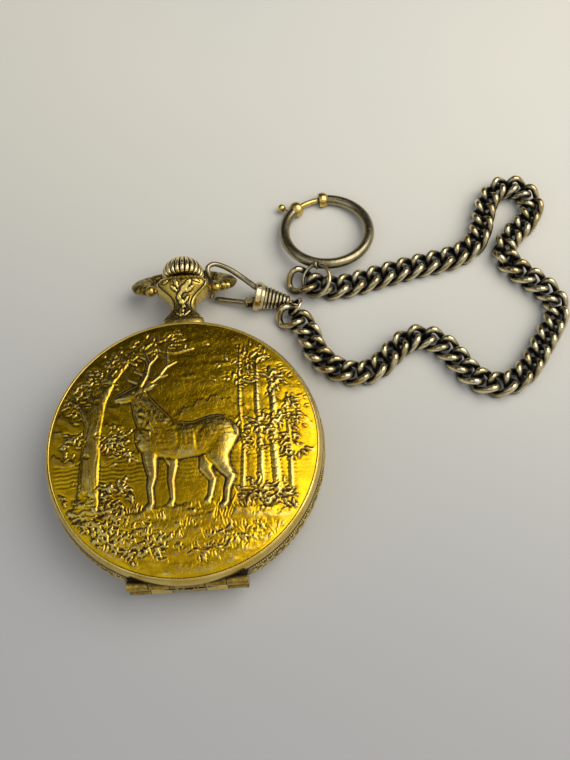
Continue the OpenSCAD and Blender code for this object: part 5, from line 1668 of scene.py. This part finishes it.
@dataclass
class CurbChain:
    """The curb chain, each link a twisted oval of round wire."""

    wire_r: float = 0.62
    fullness: float = 1.08
    length: float = 4.8
    width: float = 3.7
    twist: float = 1.3
    end_length: float = 5.8
    end_width: float = 4.6
    links: int = 54
    route: tuple[tuple[float, float], ...] = (
        (19.5, -5.3), (22.4, -6.3), (24.2, -8.8), (24.8, -12), (26.2, -15), (28.6, -17.4),
        (31.6, -18.8), (34.8, -19), (38.2, -17.2), (41.4, -14), (45.2, -12), (49.2, -13),
        (52.2, -16.2), (54.6, -20.2), (58, -23), (62.2, -23.2), (66, -20.8), (68.8, -17.2),
        (71.4, -13.4), (74, -9.6), (74.2, -5.2), (71.4, -1.4), (68, 2), (66, 6), (68.4, 10.2),
        (72, 13.4), (74, 17.6), (71.8, 21.8), (67.2, 22), (64.2, 18.2), (62.6, 13.4),
        (60.8, 9.4), (57.2, 6.6), (52.8, 5.2), (47.4, 4.2), (42, 3), (36.6, 1.6), (32, 0.6),
        (29, 0.6), (26, 1.5), (23.04, 2.83))
    stretches: tuple[tuple[str, int, int], ...] = (
        ("near", 0, 13), ("bend", 13, 27), ("loop", 27, 40), ("far", 40, 54))

    def link(self, start: np.ndarray, middle: np.ndarray, end: np.ndarray,
             last: bool) -> np.ndarray:
        """Lays out the centreline of a link.

        Args:
            start: Point of the route where the link begins.
            middle: Point of the route at its middle.
            end: Point of the route where it ends.
            last: Whether it is the chain's last link, which is larger.

        Returns:
            Points of the centreline, in the CAD model's frame.
        """
        length, width = (self.end_length, self.end_width) if last else (self.length, self.width)
        a = circle(48)
        shape = np.stack([length / 2 * np.cos(a), width / 2 * np.sin(a),
                          -self.twist * np.sin(2 * a)], -1)
        shape[:, 0] += (length - self.length) / 2
        x, y = ((start + end) / 2 + middle) / 2
        turn = math.atan2(end[1] - start[1], end[0] - start[0])
        return placed(shape, posed((x, y + PIVOT_Y, self.twist + self.wire_r), turn))

    def build(self) -> None:
        """Lays the links along the route, in the four stretches of the CAD model."""
        line = smooth_line(self.route, 6)
        reach = np.concatenate([[0], np.cumsum(np.linalg.norm(np.diff(line, axis=0), axis=1))])
        halves = np.arange(2 * self.links + 1) * (reach[-1] / self.links) / 2
        at = np.stack([np.interp(halves, reach, line[:, k]) for k in (0, 1)], -1)
        for name, first, end in self.stretches:
            made = Swept()
            for i in range(first, end):
                centre = self.link(*at[2 * i:2 * i + 3], i == self.links - 1)
                made.wire(centre, self.wire_r * self.fullness, 14, True)
            finished(made.piece(f"chain_{name}_links"), NICKEL, "clip", "nickel_silver",
                     f"chain_links_{name}")
        dress(NICKEL, "jump_ring")


class BoltRing:
    """The bolt ring: nickel tube, brass collars and sliding bolt."""

    def build(self) -> None:
        """Dresses the CAD nodes."""
        dress(RING_NICKEL, "ring_tube")
        dress(BRASS, "ring_collars", "ring_bolt")


# Dial and movement


@dataclass(frozen=True)
class Letter:
    """A letter of a Roman numeral, x in shares of its width, all else in shares of its height.

    A stroke has x and y of its start, x and y of its end and its thickness; a serif has its
    x and its half length.
    """

    width: float
    strokes: tuple[tuple[float, ...], ...]
    serifs: tuple[tuple[float, float], ...]
    levels: tuple[float, ...] = (0.5, -0.5)


LETTERS = {
    "I": Letter(0.272, ((0, -0.5, 0, 0.5, 0.16),), ((0, 0.16),)),
    "V": Letter(0.624, ((-0.34, 0.5, 0, -0.5, 0.15), (0, -0.5, 0.34, 0.5, 0.07)),
                ((-0.34, 0.15), (0.34, 0.12)), (0.5,)),
    "X": Letter(0.624, ((-0.34, 0.5, 0.34, -0.5, 0.15), (-0.34, -0.5, 0.34, 0.5, 0.07)),
                ((-0.34, 0.15), (0.34, 0.15)))}


@dataclass
class Dial:
    """Enamel dial with plain Roman hours, minute and seconds tracks, and the hands."""

    hour_r: float = 16.0
    height: float = 3.1
    track: tuple[float, float] = (19.0, 19.9)
    seconds_track: tuple[float, float] = (3.65, 4.05)
    # Widths of a mark and of every fifth mark
    minute_marks: tuple[float, float] = (0.08, 0.3)
    second_marks: tuple[float, float] = (0.06, 0.12)
    line: float = 0.07
    seconds_lines: tuple[float, float] = (0.04, 0.05)
    serif: float = 0.05
    ink: float = 0.012
    print_z: float = DIAL_TOP + 0.012
    sunk_z: float = DIAL_TOP - 0.15 + 0.012
    faces: list = field(default_factory=list)
    points: list = field(default_factory=list)

    def bar(self, place: Matrix, a: Sequence[float], b: Sequence[float], wide: float) -> None:
        """Adds a flat bar.

        Args:
            place: Place of the numeral or the track.
            a: One end.
            b: The other end.
            wide: Its width.
        """
        (ax, ay), (bx, by) = a, b
        length = math.hypot(bx - ax, by - ay)
        nx, ny = -(by - ay) / length * wide / 2, (bx - ax) / length * wide / 2
        base = len(self.points)
        for x, y in ((ax - nx, ay - ny), (bx - nx, by - ny), (bx + nx, by + ny), (ax + nx, ay + ny)):
            self.points.append(tuple(place @ Vector((x, y, 0))))
        self.faces.append([base, base + 1, base + 2, base + 3])

    def numeral(self, text: str, place: Matrix) -> None:
        """Adds a Roman numeral.

        Args:
            text: Its letters.
            place: Its middle and its turn.
        """
        h = self.height
        letters = [LETTERS[c] for c in text]
        x = -sum(letter.width for letter in letters) * h / 2
        for letter in letters:
            w = letter.width * h
            mid = x + w / 2
            for ax, ay, bx, by, thick in letter.strokes:
                self.bar(place, (mid + ax * w, ay * h), (mid + bx * w, by * h), thick * h)
            for foot, reach in letter.serifs:
                for y in letter.levels:
                    ends = ((mid + foot * w + way * reach * h, y * h) for way in (-1, 1))
                    self.bar(place, *ends, self.serif * h)
            x += w

    def ring(self, x: float, z: float, r: float, wide: float, sides: int = 180) -> None:
        """Adds a printed circle.

        Args:
            x: Its middle along x.
            z: Its height.
            r: Its radius.
            wide: Width of its line.
            sides: Number of sides.
        """
        base = len(self.points)
        for a in circle(sides):
            for rr in (r - wide / 2, r + wide / 2):
                self.points.append((x + rr * math.cos(a), rr * math.sin(a), z))
        self.faces += (grid_faces(sides, 2, False, True) + base).tolist()

    def ticks(self) -> None:
        """Adds the marks of the minutes and the seconds, every fifth one stronger."""
        for k in range(60):
            fifth = k % 5 == 0
            turn = k * math.pi / 30
            self.bar(posed((0, 0, self.print_z), turn), (self.track[0], 0), (self.track[1], 0),
                     self.minute_marks[fifth])
            start = self.seconds_track[0] - (0.3 if fifth else 0)
            self.bar(posed((SECONDS_X, 0, self.sunk_z), turn), (start, 0),
                     (self.seconds_track[1], 0), self.second_marks[fifth])

    def build(self) -> None:
        """Prints the dial and dresses the hands, the glass and the bezel."""
        hours = ("XII", "I", "II", "III", "IIII", "V", "", "VII", "VIII", "IX", "X", "XI")
        for k, text in enumerate(hours):
            a = math.pi - k * math.pi / 6
            at = (self.hour_r * math.cos(a), self.hour_r * math.sin(a), self.print_z)
            self.numeral(text, posed(at, a - math.pi / 2))
        for r in self.track:
            self.ring(0, self.print_z, r, self.line)
        self.ticks()
        for r, wide in zip(self.seconds_track, self.seconds_lines):
            self.ring(SECONDS_X, self.sunk_z, r, wide, 90)
        piece = mesh_piece("dial_print", np.array(self.points), self.faces, False)
        thick = piece.modifiers.new("ink", "SOLIDIFY")
        thick.thickness, thick.offset = self.ink * MM, -1
        finished(piece, PRINT, "case", "enamel")
        for finish, *nodes in ((ENAMEL, "dial"), (GLASS, "crystal"), (RIM_GOLD, "bezel"),
                               (BLUED, "hour_hand", "minute_hand", "seconds_hand")):
            dress(finish, *nodes)


class Movement:
    """The plates, wheels and springs, dressed in their metals."""

    finishes: tuple[tuple[Finish, tuple[str, ...]], ...] = (
        (PLATE_NICKEL, ("mainplate", "barrel_bridge", "train_bridge", "balance_cock")),
        (BLUED, ("bridge_screws", "case_screws", "hairspring")),
        (RUBY, ("jewels",)),
        (WHEEL_BRASS, ("barrel", "barrel_lid", "centre_wheel", "third_wheel", "fourth_wheel",
                       "balance_wheel", "minute_wheel", "hour_wheel")),
        (STEEL, ("mainspring", "ratchet_wheel", "crown_wheel", "winding_pinion", "click",
                 "escape_wheel", "pallet_fork", "cannon_pinion", "cover_catch", "cover_spring")))

    def build(self) -> None:
        """Dresses each CAD node of the movement."""
        for finish, nodes in self.finishes:
            dress(finish, *nodes)


class BackCover:
    """The plain polished back and the hinge pins."""

    def build(self) -> None:
        """Dresses the CAD nodes."""
        dress(RIM_GOLD, "back_cover")
        dress(SHADED_CASE_GOLD, "front_hinge_pin", "back_hinge_pin")


# Studio


@dataclass(frozen=True)
class Lamp:
    """A square soft light, its side and places in millimetres and its power in watts."""

    name: str
    at: tuple[float, float, float]
    target: tuple[float, float, float]
    size: float
    power: float
    colour: Colour

    def build(self) -> None:
        """Adds the light to the scene."""
        data = bpy.data.lights.new(self.name, "AREA")
        data.shape, data.size = "SQUARE", self.size * MM
        data.energy, data.color = self.power, self.colour
        made = bpy.data.objects.new(self.name, data)
        bpy.context.scene.collection.objects.link(made)
        made.location = Vector(self.at) * MM
        aim = (Vector(self.target) - Vector(self.at)).normalized()
        made.rotation_mode = "QUATERNION"
        made.rotation_quaternion = aim.to_track_quat("-Z", "Y")


@dataclass
class Studio:
    """Pale paper floor, soft lights and the photograph's camera."""

    camera_at: tuple[float, float, float] = (18.01, -53.05, 153.32)
    focal: float = 40.33
    turn: float = 0.8
    down: float = 65.85
    roll: float = -3.17
    paper: Colour = (0.85, 0.83, 0.745)
    # Colour of the painted shade on the paper
    shade: Colour = (0.50, 0.50, 0.51)
    floor_half: float = 2400.0
    floor_drop: float = 0.02
    window: tuple[float, float, float] = (0.60, -0.42, 0.68)
    door: tuple[float, float, float] = (-0.58, 0.18, 0.79)
    dark_room: Colour = (0.05, 0.05, 0.055)
    window_light: Colour = (1.0, 0.98, 0.93)
    door_light: Colour = (0.80, 0.80, 0.78)
    horizon: Colour = (0.62, 0.61, 0.59)
    room_strength: float = 0.68
    lamps: tuple[Lamp, ...] = (
        Lamp("window_light", (200, 50, 270), (30, 40, 0), 290, 0.66, (1.0, 0.96, 0.87)),
        Lamp("fill_light", (-220, -120, 260), (0, 0, 0), 300, 0.2, (0.80, 0.88, 1.0)))

    def camera(self) -> None:
        """Makes the camera at the photograph's viewpoint."""
        yaw, pitch, roll = (math.radians(a) for a in (self.turn, self.down, self.roll))
        ahead = Vector((math.cos(pitch) * math.sin(yaw), math.cos(pitch) * math.cos(yaw),
                        -math.sin(pitch)))
        right = Vector((math.cos(yaw), -math.sin(yaw), 0))
        up = right.cross(ahead)
        right, up = (math.cos(roll) * right + math.sin(roll) * up,
                     -math.sin(roll) * right + math.cos(roll) * up)
        data = bpy.data.cameras.new("camera")
        data.lens, data.sensor_width = self.focal, 36.0
        data.clip_start, data.clip_end = 0.005, 5.0
        made = bpy.data.objects.new("camera", data)
        bpy.context.scene.collection.objects.link(made)
        turned = Matrix((right, up, -ahead)).transposed().to_4x4()
        made.matrix_world = Matrix.Translation(Vector(self.camera_at) * MM) @ turned
        bpy.context.scene.camera = made

    def floor(self) -> None:
        """Makes the sheet of paper, much larger than the view."""
        line = np.linspace(-self.floor_half, self.floor_half, 9)
        x, y = np.meshgrid(line, line)
        points = np.stack([x + 20, y + 10, np.full_like(x, -self.floor_drop)], -1)
        sheet = mesh_piece("paper_floor", points.reshape(-1, 3), grid_faces(*x.shape, False))
        sheet.data.materials.append(new_material("paper", self.paper_surface))

    def paper_surface(self, g: Graph) -> dict[str, object]:
        """Draws the paper's nodes: pale and warm at the far side, greyed by painted shade towards
        the viewer.

        Args:
            g: Graph of the material.

        Returns:
            The shader's inputs, by name.
        """
        where = g.millimetres()
        cloud, fibre = g.noise(where, 0.006, 2.0), g.noise(where, 1.2, 4.0)
        cool = tuple(c * f for c, f in zip(self.paper, (0.95, 0.97, 1.02)))
        colour = g.mix(g.ramp(cloud, 0.4, 0.6), self.paper, cool)
        far = g.add("VectorMath", {0: where}, operation="LENGTH").outputs["Value"]
        # Painted shade: darker towards the viewer within about 330 mm of the watch
        shaded = g.times(g.ramp(g.dot(where, (0.28, 0.96, 0.0)), 115.0, -52.0),
                         g.ramp(far, 330.0, 130.0))
        return {"Base Color": g.mix(shaded, colour, self.shade), "Roughness": 0.85,
                "Normal": g.bump(0.15, 0.04, Height=fibre)}

    def world(self) -> None:
        """Makes the room: pale at the horizon, brighter overhead to the right, dark to the left."""
        made = bpy.data.worlds.new("room")
        bpy.context.scene.world = made
        made.use_nodes = True
        made.node_tree.nodes.clear()
        g = Graph(made.node_tree)
        way = g.add("VectorMath", {0: g.add("TexCoord").outputs["Generated"]},
                    operation="NORMALIZE").outputs[0]
        window, door = (g.dot(way, Vector(to).normalized())
                        for to in (self.window, self.door))
        upper = g.mix(g.ramp(window, 0.12, 0.95), self.dark_room, self.window_light)
        upper = g.mix(g.ramp(door, 0.93, 0.985, 0.0, 0.55), upper, self.door_light)
        pale = g.ramp(g.add("SeparateXYZ", {0: way}).outputs["Z"], 0.26, 0.06)
        back = g.add("Background", {"Color": g.mix(pale, upper, self.horizon),
                                    "Strength": self.room_strength})
        g.add("OutputWorld", {"Surface": back.outputs[0]})

    def build(self) -> None:
        """Sets up the whole studio."""
        self.camera()
        self.floor()
        for lamp in self.lamps:
            lamp.build()
        self.world()
        bpy.context.scene.view_settings.view_transform = "Standard"


def main() -> None:
    """Builds the studio and every sub-assembly in order."""
    logging.basicConfig(level=logging.INFO, format="%(name)s: %(message)s")
    for maker in (Studio(), FrontCover(), CaseBand(), BackCover(), Pendant(), Crown(), Bow(),
                  SpringClip(), CurbChain(), BoltRing(), Dial(), Movement()):
        maker.build()
        LOG.info("%s done", type(maker).__name__)


if __name__ == "__main__":
    main()
